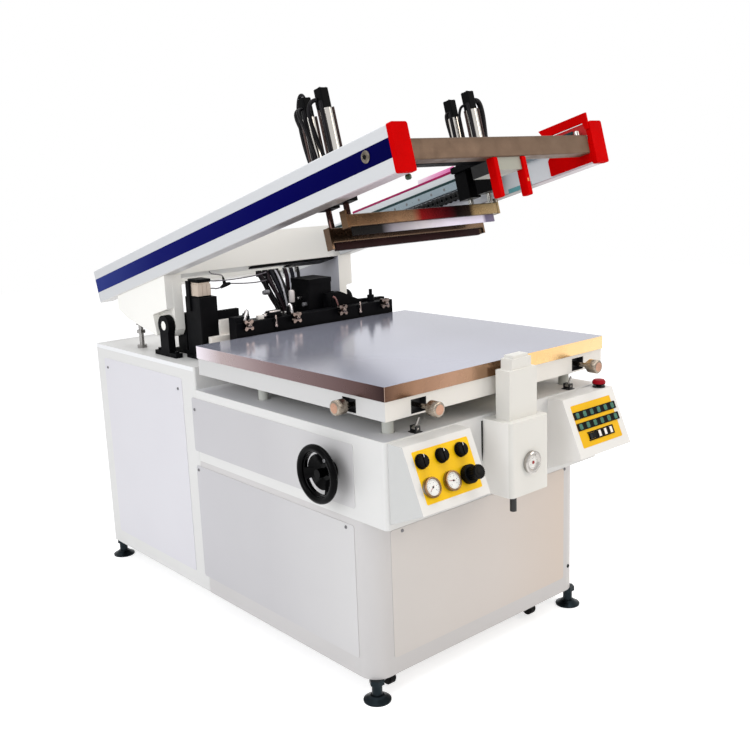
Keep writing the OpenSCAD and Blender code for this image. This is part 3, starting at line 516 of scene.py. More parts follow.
def on_face(x, s):
    """A place on a console's sloped face, s down the slope; +Z points out of the face."""
    return (Matrix.Translation((x, *CONSOLE_TOP)) @ Matrix.Rotation(FACE_TURN, 4, "X")
            @ Matrix.Translation((0, -s, 0)))


def at(x, y, z, turn=0.0, axis="X"):
    return Matrix.Translation((x, y, z)) @ Matrix.Rotation(math.radians(turn), 4, axis)


FACE = on_face(0, 0)
print("head opened by", round(math.degrees(OPEN_ANGLE), 1), "degrees")

# %% [markdown]
# Four kinds of shape make nearly everything: a block with softened edges, a turned part, a plate cut to
# an outline, and a round tube that follows a path. The last keeps its ring from twisting by carrying one
# direction along the path. Each shape is a list of points and a list of faces.
# %% Shapes


def shape_of(bm):
    bmesh.ops.remove_doubles(bm, verts=bm.verts, dist=1e-4)
    bmesh.ops.recalc_face_normals(bm, faces=bm.faces)
    bm.verts.index_update()
    made = ([v.co.copy() for v in bm.verts], [[v.index for v in f.verts] for f in bm.faces])
    bm.free()
    return made


def soften(bm, edges, width):
    bmesh.ops.bevel(bm, geom=edges, offset=width, segments=2, affect="EDGES", profile=0.6)


def bridge(bm, rings):
    """Faces between each ring of vertices and the next."""
    for low, high in zip(rings, rings[1:]):
        for i in range(len(low)):
            k = (i + 1) % len(low)
            bm.faces.new((low[i], low[k], high[k], high[i]))


def block(x, y, z, soft):
    """A block from its spans in x, y and z; soft is how wide its bevelled edges are."""
    bm = bmesh.new()
    bmesh.ops.create_cube(bm, size=1)
    for v in bm.verts:
        v.co = Vector([low + (high - low) * (c + 0.5) for c, (low, high) in zip(v.co, (x, y, z))])
    if soft:
        soften(bm, bm.edges[:], soft)
    return shape_of(bm)


def turned(profile, sides=32, flutes=0, depth=0.0, hollow=False):
    """A turned part from (radius, height) points. flutes cuts grooves along its widest parts; the profile
    of a hollow one is a closed loop."""
    bm = bmesh.new()
    widest = max(r for r, _ in profile)
    rings = []
    for radius, height in profile:
        rings.append([])
        for i in range(sides):
            turn = 2 * math.pi * i / sides
            cut = depth * (0.5 - 0.5 * math.cos(turn * flutes)) if flutes and radius > 0.86 * widest else 0
            rings[-1].append(bm.verts.new(((radius - cut) * math.cos(turn), (radius - cut) * math.sin(turn), height)))
    bridge(bm, rings + rings[:1] if hollow else rings)
    for ring, (radius, _) in ((rings[0], profile[0]), (rings[-1], profile[-1])):
        if radius > 1e-6 and not hollow:
            bm.faces.new(ring)
    return shape_of(bm)


def plate(outline, low, high, soft=0.0):
    bm = bmesh.new()
    face = bm.faces.new([bm.verts.new((x, y, low)) for x, y in outline])
    grown = bmesh.ops.extrude_face_region(bm, geom=[face])["geom"]
    bmesh.ops.translate(bm, verts=[v for v in grown if isinstance(v, bmesh.types.BMVert)], vec=(0, 0, high - low))
    if soft:
        soften(bm, [e for e in bm.edges if all(abs(v.co.z - high) < 1e-6 for v in e.verts)], soft)
    return shape_of(bm)


def round_outline(width, height, radius, steps=5):
    points = []
    for sx, sy, start in ((1, 1, 0), (-1, 1, 90), (-1, -1, 180), (1, -1, 270)):
        for i in range(steps + 1):
            turn = math.radians(start + 90 * i / steps)
            points.append((sx * (width / 2 - radius) + radius * math.cos(turn),
                           sy * (height / 2 - radius) + radius * math.sin(turn)))
    return points


def swept(path, radius, sides=14, radii=None):
    """A round tube along a path, with closed ends."""
    path = [Vector(p) for p in path]
    bm = bmesh.new()
    along = [(path[min(i + 1, len(path) - 1)] - path[max(i - 1, 0)]).normalized() for i in range(len(path))]
    across = along[0].orthogonal().normalized()
    rings = []
    for i, (point, way) in enumerate(zip(path, along)):
        across = (across - way * across.dot(way)).normalized()
        other = way.cross(across)
        r = radii[i] if radii else radius
        rings.append([bm.verts.new(point + r * (math.cos(2 * math.pi * k / sides) * across
                                                + math.sin(2 * math.pi * k / sides) * other)) for k in range(sides)])
    bridge(bm, rings)
    bm.faces.new(rings[0])
    bm.faces.new(rings[-1])
    return shape_of(bm)


print("shapes: block, turned, plate, swept")

# %% [markdown]
# A piece joins several shapes, each with its own place and finish, to one mesh. It rides on a body of the
# frame and may stand for a solid, which is then hidden.
# %% Pieces


def settle(made, body, replaces=(), crease=None):
    if crease:
        made.data.shade_smooth()
        made.data.set_sharp_from_angle(angle=math.radians(crease))
    if body:
        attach(made, body)
    if replaces:
        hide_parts(*replaces)
    print(made.name, len(made.data.polygons), "faces")
    return made


def piece(name, body, parts, replaces=(), crease=35):
    """Joins (shape, place, finish) parts to one piece that rides on a body."""
    verts, faces, skins, marks = [], [], [], []
    for (points, polygons), place, skin in parts:
        if skin not in skins:
            skins.append(skin)
        start = len(verts)
        verts += [(place @ p) * MM for p in points]
        faces += [[start + i for i in polygon] for polygon in polygons]
        marks += [skins.index(skin)] * len(polygons)
    mesh = bpy.data.meshes.new(name)
    mesh.from_pydata(verts, [], faces)
    for skin in skins:
        mesh.materials.append(finishes[skin])
    mesh.polygons.foreach_set("material_index", marks)
    return settle(set_out(name, mesh), body, replaces, crease)


def blocks(place, *rows):
    """Parts from rows of a finish, the spans in x, y and z, and how soft the edges are."""
    return [(block(x, y, z, soft), place, skin) for skin, x, y, z, soft in rows]


def curve_path(start, end, leave, arrive, steps=24):
    start, end, leave, arrive = (Vector(v) for v in (start, end, leave, arrive))
    return [start * (1 - t) ** 3 + (start + leave) * 3 * t * (1 - t) ** 2 + (end + arrive) * 3 * t * t * (1 - t)
            + end * t ** 3 for t in (i / steps for i in range(steps + 1))]


def hose(name, path, radius, skin, body=None, replaces=(), bend_from=None):
    """A cord held at both ends. One with bend_from has its place baked into its mesh."""
    made = piece(name, body, [(swept(path, radius), UPRIGHT, skin)], replaces, crease=60)
    if bend_from:
        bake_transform(made)


# %% [markdown]
# Four of the hoses are the frame's own, so they replace its solid; eight more stand beside and behind them.
# Their skins differ a little, as old and new rubber do, and one is a pale tube.
# %% Hoses between cabinet and head
HOSE_TINTS = [(14, 13, 16), (30, 18, 24), (16, 17, 26), (12, 12, 13), (186, 184, 190)]
FRAME_HOSES = 4
head_hoses = [((20 + i * 15, 216 - 6 * (i % 2), 881), (-16 + i * 26, 286, 1023), (-10, 10, 60), (4, -34, -52), 7, i)
              for i in range(FRAME_HOSES)]
head_hoses += [((36, 226, 881), (-14, 282, 1024), (-44, 6, 44), (4, -26, -44), 6, 1),
               ((68, 244, 789.5), (96, 286, 1023), (0, 8, 90), (2, -32, -60), 7, 1),
               ((78, 246, 789.5), (122, 286, 1023), (0, 10, 90), (2, -32, -60), 7, 2),
               ((88, 248, 789.5), (148, 285, 1024), (0, 12, 90), (2, -30, -60), 6, 3),
               ((44, 204, 881), (52, 282, 1024), (-6, 6, 60), (0, -40, -40), 3.5, 4)]
head_hoses += [((x, y, 881), (end_x, 296, 1024), (-8, 10, 60), (2, -34, -52), 7, tint)
               for x, y, end_x, tint in ((26, 236, -2, 0), (45, 238, 24, 1), (62, 236, 50, 3))]
collars = []
for i, (start, end, leave, arrive, radius, tint) in enumerate(head_hoses, 1):
    path = curve_path(start, end, leave, arrive)
    rough, drift, bend_from, collar_height, replaced = (0.3, 0.3, 0.92, 8, ()) if i > FRAME_HOSES else (
        0.28, 0.4, 0.90, 7, ("hose_bundle",))
    skin = finish(f"head_hose_{i}_skin", HOSE_TINTS[tint], rough, 0, drift, 0.05, 0.08, 0.12)
    hose(f"head_hose_{i}", path, radius, skin, replaces=replaced, bend_from=bend_from)
    collars.append((turned([(radius + 2.4, -0.4), (radius + 2.4, collar_height), (radius + 0.4, collar_height + 2),
                            (0.001, collar_height + 2)], 20), Matrix.Translation(path[0]), "plated_steel"))
piece("hose_collars", "cabinet", collars)

# %% [markdown]
# The hoses end in hexagon nuts under a tray of folded black sheet, which hangs from the head's cross box.
# %% Hose tray
TRAY_RIGHT = 313
tray_parts = blocks(HEAD, ("black_steel", (-43, TRAY_RIGHT), (240, 262), (1029.5, 1035.3), 1.2),
                    ("black_steel", (150, TRAY_RIGHT), (250, 331), (1029.5, 1035.3), 1.2))
nut = turned([(8.8, 0), (8.8, 13), (7.6, 14.5), (7.6, 20), (0.001, 20)], 6)
tray_parts += [(nut, at(x, 284, 1008, -12), "plated_steel" if x > 90 else "black_plastic")
               for x in (-16, 10, 36, 62, 96, 122, 148)]
piece("hose_tray", "head", tray_parts)

# %% [markdown]
# The hoses on the carriage feed the cylinder heads. They are short, so they stand in an arch between the
# cap and the carriage beam and ride with it. The first three stand for the frame's own.
# %% Hoses on the carriage
CYLINDER_X, FLOOD_Y, SQUEEGEE_Y, CYLINDER_TOP = 272, -580, -504, 1348
CARRIAGE_TOP = 1151.5
CARRIAGE_RUNS = [
    ("flood_hose_right", 8, (294.5, -580, 1324), (302, -578), (40, 0, 6), (6, 0, 80)),
    ("squeegee_hose_left", 6, (-276, -483.5, 1326), (-252, -492), (-8, 56, 10), (0, 16, 90)),
    ("flood_hose_left", 4, (-276, -559.5, 1326), (-242, -542), (0, 20, 0), (0, 0, 80)),
    ("squeegee_hose_left_2", 5, (-276, -508, 1348), (-262, -466), (-6, 6, 40), (-10, 34, 170)),
    ("squeegee_hose_left_3", 4.5, (-290, -508, 1320), (-286, -520), (-34, 10, 0), (-16, -18, 110)),
    ("flood_hose_left_2", 5.5, (-290, -574, 1322), (-270, -540), (-36, 26, 0), (-14, 12, 110)),
    ("flood_hose_right_2", 5, (284, -572, 1316), (300, -556), (46, 14, 4), (18, 10, 90)),
    ("flood_hose_right_3", 4, (255, -572, 1312), (256, -544), (-24, 16, 0), (-8, 0, 90)),
    ("squeegee_hose_right", 3.5, (254, -504, 1312), (248, -508), (-26, 4, 0), (-6, -4, 90)),
    ("flood_hose_left_3", 6, (-289, -586, 1314), (-291, -588), (-4, -4, -40), (-3, -3, 50)),
    ("squeegee_hose_left_4", 6, (-289, -510, 1314), (-291, -512), (-4, -4, -40), (-3, -3, 50)),
    ("flood_hose_right_4", 6, (255, -586, 1314), (253, -588), (-4, -4, -40), (-3, -3, 50)),
    ("squeegee_hose_right_2", 5, (255, -510, 1314), (253, -512), (-4, -4, -40), (-3, -3, 50)),
]
for i, (name, radius, start, foot, leave, arrive) in enumerate(CARRIAGE_RUNS):
    path = [HEAD @ p for p in curve_path(start, (*foot, CARRIAGE_TOP), leave, arrive)]
    hose(name, path, radius, "hose_skin", "carriage", replaces=("carriage_hoses",) if i < 3 else ())

# %% [markdown]
# Screws, lenses, ticks and chain links repeat, so Geometry Nodes trees place them. Each tree takes a small
# shape and a finish as named inputs, copies the shape, makes the copies real and gives them the finish. The
# first tree works on loose points that carry a direction and a turn, the second on a row, the third on a
# field.
# %% Trees that place copies
COPY_INPUTS = [("Geometry", "Geometry", None), ("Shape", "Object", None), ("Size", "Float", 1.0),
               ("Finish", "Material", None)]


def new_tree(name, *inputs):
    """A tree with named inputs, the outputs of its input node, and its output node."""
    tree = bpy.data.node_groups.new(name, "GeometryNodeTree")
    for label, kind, value in (*COPY_INPUTS, *inputs):
        socket = tree.interface.new_socket(label, in_out="INPUT", socket_type="NodeSocket" + kind)
        if value is not None:
            socket.default_value = value
    tree.interface.new_socket("Geometry", in_out="OUTPUT", socket_type="NodeSocketGeometry")
    return tree, add(tree, "NodeGroupInput").outputs, add(tree, "NodeGroupOutput")


def copy_shape(tree, given, result, points, **turns):
    """Ends a tree: its Shape on each point, made real, in its Finish."""
    shape = add(tree, "GeometryNodeObjectInfo", {"Object": given["Shape"]})
    size = add(tree, "ShaderNodeCombineXYZ", dict.fromkeys("XYZ", given["Size"]))
    copies = add(tree, "GeometryNodeInstanceOnPoints", {
        "Points": points, "Instance": shape.outputs["Geometry"], "Scale": size.outputs[0], **turns})
    real = add(tree, "GeometryNodeRealizeInstances", {"Geometry": copies.outputs["Instances"]})
    coated = add(tree, "GeometryNodeSetMaterial", {"Geometry": real.outputs["Geometry"], "Material": given["Finish"]})
    feed(tree, result, {"Geometry": coated.outputs["Geometry"]})


point_tree, given, result = new_tree("copies_on_points")
dots = add(point_tree, "GeometryNodeMeshToPoints", {"Mesh": given["Geometry"]})
facing = add(point_tree, "GeometryNodeInputNamedAttribute", {"Name": "facing"}, data_type="FLOAT_VECTOR")
turn = add(point_tree, "GeometryNodeInputNamedAttribute", {"Name": "turn"})
aim = add(point_tree, "FunctionNodeAlignRotationToVector", {"Vector": facing.outputs["Attribute"]}, axis="Z")
twist = add(point_tree, "FunctionNodeAxisAngleToRotation", {"Axis": (0, 0, 1), "Angle": turn.outputs["Attribute"]})
aimed = add(point_tree, "FunctionNodeRotateRotation", {
    "Rotation": aim.outputs["Rotation"], "Rotate By": twist.outputs["Rotation"]}, rotation_space="LOCAL")
copy_shape(point_tree, given, result, dots.outputs["Points"], Rotation=aimed.outputs["Rotation"])

row_tree, given, result = new_tree("copies_in_a_row", ("Copies", "Int", 10), ("Pitch", "Vector", (0, 10, 0)),
                                   ("Start", "Vector", (0, 0, 0)))
line = add(row_tree, "GeometryNodeMeshLine", {"Count": given["Copies"], "Start Location": given["Start"],
                                              "Offset": given["Pitch"]})
copy_shape(row_tree, given, result, line.outputs["Mesh"])

field_tree, given, result = new_tree("copies_in_a_field", ("Width", "Float", 100.0), ("Depth", "Float", 100.0),
                                     ("Columns", "Int", 10), ("Rows", "Int", 10))
grid = add(field_tree, "GeometryNodeMeshGrid", {"Size X": given["Width"], "Size Y": given["Depth"],
                                                "Vertices X": given["Columns"], "Vertices Y": given["Rows"]})
copy_shape(field_tree, given, result, grid.outputs["Mesh"])
print("trees:", [tree.name for tree in bpy.data.node_groups])

# %% [markdown]
# A tree is run by a modifier, whose inputs are set by their identifiers. Its result is kept as one plain
# mesh, because the export drops live copies. A screw head has to sit on its sheet, so a ray cast on the
# solids finds each point.
# %% Run a tree and keep a plain mesh


def spots(rows):
    """Loose points from rows of (place, facing, turn in degrees)."""
    mesh = bpy.data.meshes.new("spots")
    mesh.from_pydata([row[0] for row in rows], [], [])
    facings = mesh.attributes.new("facing", "FLOAT_VECTOR", "POINT").data
    facings.foreach_set("vector", [c for row in rows for c in row[1]])
    turns = mesh.attributes.new("turn", "FLOAT", "POINT").data
    turns.foreach_set("value", [math.radians(row[2]) for row in rows])
    return mesh


def plain_mesh(made):
    """What an object's modifiers or its letters come to."""
    depsgraph = bpy.context.evaluated_depsgraph_get()
    return bpy.data.meshes.new_from_object(made.evaluated_get(depsgraph), depsgraph=depsgraph)


def moved(shape, place):
    return [place @ p for p in shape[0]], shape[1]


def joined(*shapes):
    points, polygons = [], []
    for more_points, more_polygons in shapes:
        polygons += [[len(points) + i for i in polygon] for polygon in more_polygons]
        points = points + list(more_points)
    return points, polygons


def grown(name, body, tree, start, shape, skin, slot, place=UPRIGHT, replaces=(), **sizes):
    """Runs a tree on a start mesh, in mm, and keeps its result as one plain mesh that rides on a body."""
    model_mesh = bpy.data.meshes.new(name + "_model")
    model_mesh.from_pydata(shape[0], [], shape[1])
    model = set_out(name + "_model", model_mesh)
    made = set_out(name, start or bpy.data.meshes.new(name))
    modifier = made.modifiers.new("grow", "NODES")
    modifier.node_group = tree
    sockets = {item.name: item.identifier for item in tree.interface.items_tree if item.in_out == "INPUT"}
    for label, value in {"Shape": model, "Finish": finishes[skin], **sizes}.items():
        modifier[sockets[label]] = value
    mesh = plain_mesh(made)
    made.modifiers.clear()
    made.data = mesh
    bpy.data.objects.remove(model)
    mesh.transform(Matrix.Scale(MM, 4) @ place)
    settle(made, body, replaces, crease=35)


corners, triangles = [], []
for node in nodes_by_name.values():
    start = len(corners)
    corners += [node.matrix_world @ v.co / MM for v in node.data.vertices]
    triangles += [[start + i for i in polygon.vertices] for polygon in node.data.polygons]
solids = BVHTree.FromPolygons(corners, triangles)


def seat(start, way):
    """Where a ray from outside first meets the solids, in mm."""
    hit = solids.ray_cast(Vector(start), Vector(way))[0]
    return hit if hit else Vector(start)


steady = random.Random(11)
print("solids to sit on:", len(triangles), "triangles")

# %% [markdown]
# The cover panels are held by flat button-head screws. Their sockets stay dark because light hardly gets
# in. Each head is a turned part: a low dome with a socket sunk in its middle.
# %% Screws of the cabinet
finish("screw_steel", (120, 120, 122), 0.34, 1, 0.15, 0.02, 0.1)
SCREW = turned([(4.8, -0.4), (4.8, 0.7), (4.0, 1.9), (2.6, 2.4), (2.3, 2.4), (2.2, 1.0), (0.001, 1.0)], 18)
BESIDE, BEFORE, BEHIND = 500, -770, 760
SIDE_SCREWS = [(641, 713), (168, 709), (77, 657), (-637, 659), (79, 464), (-634, 467)]
FRONT_SCREWS = [(-310, 450), (355, 455)]
BACK_SCREWS = [(x, z) for x in (-352, 0, 352) for z in (126, 728)]
rows = [(seat((side * BESIDE, y, z), (-side, 0, 0)), (side, 0, 0), steady.uniform(0, 360))
        for side in (-1, 1) for y, z in SIDE_SCREWS]
rows += [(seat((x, BEFORE, z), (0, 1, 0)), (0, -1, 0), steady.uniform(0, 360)) for x, z in FRONT_SCREWS]
rows += [(seat((x, BEHIND, z), (0, -1, 0)), (0, 1, 0), steady.uniform(0, 360)) for x, z in BACK_SCREWS]
grown("cover_screws", "cabinet", point_tree, spots(rows), SCREW, "screw_steel", "stainless")
plug = turned([(6, -0.5), (6, 0.8), (5, 2), (0.001, 2.4)], 20)
piece("cable_plug", "cabinet", [(plug, at(*seat((375, BEFORE, 138), (0, 1, 0)), 90), "black_plastic")])

# %% [markdown]
# A blue line runs along each side beam. It is paint in a shallow band, so here it is a thin raised strip
# with softened edges, and its blue is painted lighter towards the rear, as painted reflection of the white
# room. A bolt under a turned cap clamps the front beam.
# %% Stripes and bolts of the beams
finish("stripe_blue", (2, 2, 66), 0.6, 0, 0.06, 0.4, 0.1, 0.02)
# Painted reflection: the blue lighter towards the rear.
recolour("stripe_blue", ("y", [(-0.86, (2, 2, 58)), (-0.3, (2, 2, 80)), (0.3, (14, 20, 98)), (0.70, (48, 60, 130))]),
         share=0.95)
piece("beam_stripes", "head", blocks(HEAD, *[("stripe_blue", span, (-909, 696), (1073, 1119), 0.25)
                                             for span in ((-388.5, -387.6), (387.6, 388.5))]))
finish("cap_steel", (118, 110, 100), 0.3, 1, 0.35, 0.01, 0.1)
beam_cap = turned([(15, -0.5), (15, 2.2), (13.4, 3.8), (9.5, 4.2), (9, 3.4), (7, 3.4), (6.4, 4.6), (0.001, 5)])
bolt_socket = turned([(6.2, 4.5), (6.2, 5.3), (0.001, 5.3)], 6)
piece("beam_bolts", "head", [(shape, HEAD @ at(side * 388.4, -823, 1100, side * 90, "Y"), skin)
                             for side in (-1, 1)
                             for shape, skin in ((beam_cap, "cap_steel"), (bolt_socket, "black_steel"))])

# %% [markdown]
# The consoles carry yellow plates under the controls, which are left bare here. The knobs are moulded with
# fine flutes, so that fingers hold them, and a white line marks the turn.
# %% Console plates and valve knobs
finish("plate_yellow", (236, 182, 8), 0.42, 0, 0.04, 0.12, 0.08, 0.15)
recolour("plate_yellow", (252, 200, 12), x=(-0.39, -0.19))
finish("mark_white", (236, 234, 228), 0.4, 0, 0.03, 0.01, 0.05)
finish("fluted_black", (8, 8, 9), 0.36, 0, 0.3, 0.02, 0.12, 0.06)
plates = []
for x, s in (((-388, -198), (17, 147)), ((213, 392), (22, 143))):
    outline = [(px + sum(x) / 2, py - sum(s) / 2) for px, py in round_outline(x[1] - x[0], s[1] - s[0], 4)]
    plates.append((plate(outline, -0.3, 0.6, 0.15), FACE, "plate_yellow"))
piece("console_plates", "cabinet", plates)

VALVE_X, VALVE_S = (-368, -301, -235), 44
valve_skirt = turned([(7.5, -15), (7.5, 1.5), (18.4, 1.5), (19, 2.2), (19, 4), (18.2, 5), (16.8, 5.2)], 48)
valve_grip = turned([(16.8, 5), (16.8, 14), (16, 15.6), (14, 16.4), (0.001, 16.4)], 96, 24, 1.1)
for i, x in enumerate(VALVE_X, 1):
    place = on_face(x, VALVE_S)
    piece(f"valve_cap_{i}", f"valve_{i}", [(valve_skirt, place, "fluted_black"), (valve_grip, place, "fluted_black")]
          + blocks(place, ("fluted_black", (-2.4, 2.4), (-15.4, 15.4), (15.8, 18.6), 0.8),
                   ("mark_white", (-0.8, 0.8), (8, 15.8), (18, 18.9), 0.2),
                   ("mark_white", (16.2, 17), (-1.2, 1.2), (6, 14), 0.2)), (f"valve_knob_{i}",))
place = on_face(-236, 108)
piece("regulator_cap", "regulator", [
    (turned([(7.5, -15), (7.5, 1.5), (23, 1.5), (24, 2.5), (24, 18), (22.6, 19.6), (17, 20)], 96, 32, 0.9), place,
     "fluted_black"),
    (turned([(16.8, 19.5), (16.8, 38), (18.4, 39), (18.4, 45), (17, 47.4), (0.001, 47.6)], 96, 20, 1.2), place,
     "fluted_black"),
    (turned([(9, 47.2), (9, 47.9), (8.4, 48.1), (0.001, 48.1)]), place, "black_plastic")],
      ("regulator_knob",))

# %% [markdown]
# Two pressure gauges sit in the left console. Each is a brown metal bezel, a white dial that sits deep
# inside it, a scale and a needle. The scale's ticks are copies that a tree places round an arc; the plain
# numbers are text turned into mesh.
# %% Pressure gauges
finish("dial_white", (238, 238, 234), 0.5, 0, 0.02, 0.02, 0.03)
finish("bezel_bronze", (126, 100, 72), 0.28, 1, 0.2, 0.03, 0.12)
finish("needle_red", (150, 16, 12), 0.4, 0, 0.05, 0.01, 0.05)
finish("dial_ink", (20, 20, 22), 0.5, 0, 0.1, 0.01, 0.03)
GAUGE_X, GAUGE_S, GAUGE_MARKS, SCALE_RADIUS, NUMBER_RADIUS = (-363, -294), 110, 21, 17.4, 11.6


def numeral(text, size):
    curve = bpy.data.curves.new("numeral", "FONT")
    curve.body, curve.size, curve.extrude = text, size, 0.04
    curve.align_x, curve.align_y, curve.resolution_u = "CENTER", "CENTER", 2
    holder = set_out("numeral", curve)
    mesh = plain_mesh(holder)
    bpy.data.objects.remove(holder)
    return [v.co.copy() for v in mesh.vertices], [list(p.vertices) for p in mesh.polygons]


bezel = turned([(20.6, 10.2), (20.6, 12.2), (22, 13.6), (24.4, 13.2), (25.5, 11), (25.5, 7.4), (24.8, 7), (24.8, 10.2)],
               40, hollow=True)
dial = turned([(20.8, 10.1), (20.8, 10.4), (0.001, 10.4)], 40)
hub = turned([(2.4, 10.3), (2.4, 11.6), (1.6, 12), (0.001, 12)], 16)
needle = plate([(-0.9, -5), (0.9, -5), (0.25, 14.5), (-0.25, 14.5)], 11, 11.3)
for i, (x, reading) in enumerate(zip(GAUGE_X, (215, 170)), 1):
    place = on_face(x, GAUGE_S)
    parts = [(bezel, place, "bezel_bronze"), (dial, place, "dial_white"), (hub, place, "dial_ink"),
             (needle, place @ at(0, 0, 0, reading - 90, "Z"), "needle_red")]
    for k, angle in enumerate(range(225, -46, -54)):
        turn = math.radians(angle)
        parts.append((numeral(str(2 * k), 4.2),
                      place @ at(NUMBER_RADIUS * math.cos(turn), NUMBER_RADIUS * math.sin(turn), 10.45), "dial_ink"))
    piece(f"gauge_{i}", "cabinet", parts)
ticks = []
for x in GAUGE_X:
    for k in range(GAUGE_MARKS):
        angle = math.radians(225 - 270 * k / (GAUGE_MARKS - 1))
        spot = Vector((x + SCALE_RADIUS * math.cos(angle), -GAUGE_S + SCALE_RADIUS * math.sin(angle), 10.42))
        ticks.append((spot, (0, 0, 1), math.degrees(angle)))
grown("gauge_ticks", "cabinet", point_tree, spots(ticks), block((-1.9, 1.9), (-0.3, 0.3), (0, 0.12), 0), "dial_ink",
      "black_plastic", FACE)

# %% [markdown]
# The right console shows two rows of six indicator windows above the row of keys. A lamp window is a dark
# green lens in a black frame that snaps into the sheet. The keys stand in one long black surround.
# %% Indicator windows and key surround
finish("lens_green", (66, 112, 96), 0.3, 0, 0.3, 0.02, 0.03, 0.15)
finish("frame_black", (10, 9, 9), 0.4, 0, 0.2, 0.03, 0.1, 0.06)
window_rows = [((229 + 31.8 * k, -s, 0), (0, 0, 1), 0) for k in range(6) for s in (52, 84)]
grown("window_frames", "cabinet", point_tree, spots(window_rows), plate(round_outline(31.2, 21.5, 1), -0.2, 2.2, 0.5),
      "frame_black", "black_plastic", FACE)
grown("window_lenses", "cabinet", point_tree, spots(window_rows), plate(round_outline(13.5, 16, 4), 2, 3.2, 0.6),
      "lens_green", "black_plastic", FACE)
bars = [((246, 362), s) for s in ((-106.9, -103.5), (-128.5, -125.1))]
bars += [(x, (-127, -105)) for x in ((277.3, 287.7), (304.3, 313.7), (330.3, 339.7), (356.3, 362))]
piece("key_surround", "cabinet", blocks(FACE, *[("frame_black", x, s, (-0.2, 2.6), 0.4) for x, s in bars]))

# %% [markdown]
# A dial knob on the post housing sets its height. It is turned brass-coloured steel with a scale ring, a
# pale disc and a dark red centre, and its marks turn with it. A thin black strip beside the housing is
# painted shade in the gap there.
# %% Post dial
DIAL = at(0, -891, 597, 90)
DIAL_MARKS, DIAL_RADIUS = 40, 24.5
finish("disc_pale", (206, 204, 200), 0.3, 0.6, 0.05, 0.02, 0.08)
# A black strip of painted shade in the gap beside the housing.
gap = swept([(-79.4, -792.4, 706), (-79.4, -792.4, 624), (-79.4, -792.4, 598)], 2.4, 8, [2.4, 2.2, 0.5])
piece("housing_gap", "cabinet", [(gap, UPRIGHT, "frame_black")])
piece("post_dial", "post_screw", [
    (turned([(17.6, 6.8), (17.6, 7.3), (16.8, 7.7), (0.001, 7.7)], 40), DIAL, "disc_pale"),
    (turned([(4.6, 7.6), (4.6, 8.3), (3.6, 8.8), (0.001, 8.8)], 20), DIAL, "needle_red")])
rows = [((DIAL_RADIUS * math.cos(a), DIAL_RADIUS * math.sin(a), 11), (0, 0, 1), math.degrees(a))
        for a in (2 * math.pi * k / DIAL_MARKS for k in range(DIAL_MARKS))]
grown("post_dial_ticks", "post_screw", point_tree, spots(rows), block((-1.7, 1.7), (-0.35, 0.35), (-0.1, 0.12), 0),
      "dial_ink", "black_plastic", DIAL)

# %% [markdown]
# Knurled knobs adjust the table on its frame. Knurling is a fine toothed ring, so each knob is a turned
# profile whose widest rings are cut by many small flutes. They replace the plain turned solids.
# %% Adjusting knobs
finish("knob_chrome", (146, 136, 124), 0.2, 1, 0.25, 0.015, 0.05)
finish("knob_face", (172, 134, 114), 0.3, 1, 0.1, 0.02, 0.1)
KNOB_Z = 795
knob = turned([(0.001, -30), (15.5, -30), (18.2, -29), (19, -27.6), (19, -0.6), (18, 1.2), (16, 2), (11, 2), (11, 10),
               (6, 10), (6, 70), (0.001, 70)], 120, 40, 0.7)
knob_disc = turned([(13, -30.4), (13, -29.8)], 40)
for name, body, place, node in (
        ("knob_x", "x_knob", at(-439.5, -668, KNOB_Z, 90, "Y"), "x_adjust_knob"),
        ("knob_y_left", "y_knob_l", at(-312, -843, KNOB_Z, -90), "y_adjust_knob_left"),
        ("knob_y_right", "y_knob_r", at(312, -843, KNOB_Z, -90), "y_adjust_knob_right")):
    piece(name, body, [(knob, place, "knob_chrome"), (knob_disc, place, "knob_face")], (node,))

# %% [markdown]
# The table holds the sheet by suction through a field of tiny holes. A dark disc a hair above the skin
# paints the shade inside each hole of 1.8 mm, and one tree lays the whole field from a width, a depth and
# two counts.
# %% Vacuum holes
finish("hole_shade", (70, 70, 78), 0.6, 0, 0.1, 0.01, 0.05)
grown("vacuum_holes", "table", field_tree, None, turned([(0.9, -0.2), (0.9, 0.03), (0.001, 0.03)], 8), "hole_shade",
      "black_plastic", at(0, -400, 860), Width=700.0, Depth=600.0, Columns=26, Rows=23)

# %% [markdown]
# A cable chain lies beside the right rail and guides the carriage's lines. Real ones are moulded links: two
# round side plates, a floor and a lid, each link lapping the next. One link is modelled and a tree lays a
# row of them by a named pitch. The chain's own solid is hidden but stays in the frame. The chain's own
# solid stays in the frame for collision.
# %% Cable chain
CHAIN_START, CHAIN_PITCH, CHAIN_LINKS, CHAIN_Z = -428, 21, 30, 1082
finish("chain_black", (10, 10, 11), 0.42, 0, 0.3, 0.03, 0.12, 0.2)
link_side = turned([(5.6, -1.2), (5.6, 1.2), (6.6, 1.6), (12.4, 1.6), (13.4, 1), (13.4, -1), (12.4, -1.6),
                    (6.6, -1.6)], 20, hollow=True)
link_shape = joined(*(moved(link_side, at(x, 0, 0, 90, "Y")) for x in (-7.4, 7.4)),
                    *(block((-7, 7), (-3.4, 3.4), z, 0.4) for z in ((10.4, 12.8), (-12.8, -10.4))))
grown("chain_links", "head", row_tree, None, link_shape, "chain_black", "black_steel", HEAD, ("drag_chain",),
      Copies=CHAIN_LINKS, Pitch=(0.0, float(CHAIN_PITCH), 0.0), Start=(312.0, CHAIN_START + 9.0, float(CHAIN_Z)))
chain_end = CHAIN_START + CHAIN_LINKS * CHAIN_PITCH
parts = []
for i in range(3):
    x, z = 308 + 4 * i, CHAIN_Z + 7 - 3 * i
    parts.append((swept([(x, CHAIN_START + 3, z), (x, chain_end - 6, z)], 1.9, 8), HEAD, "rubber"))
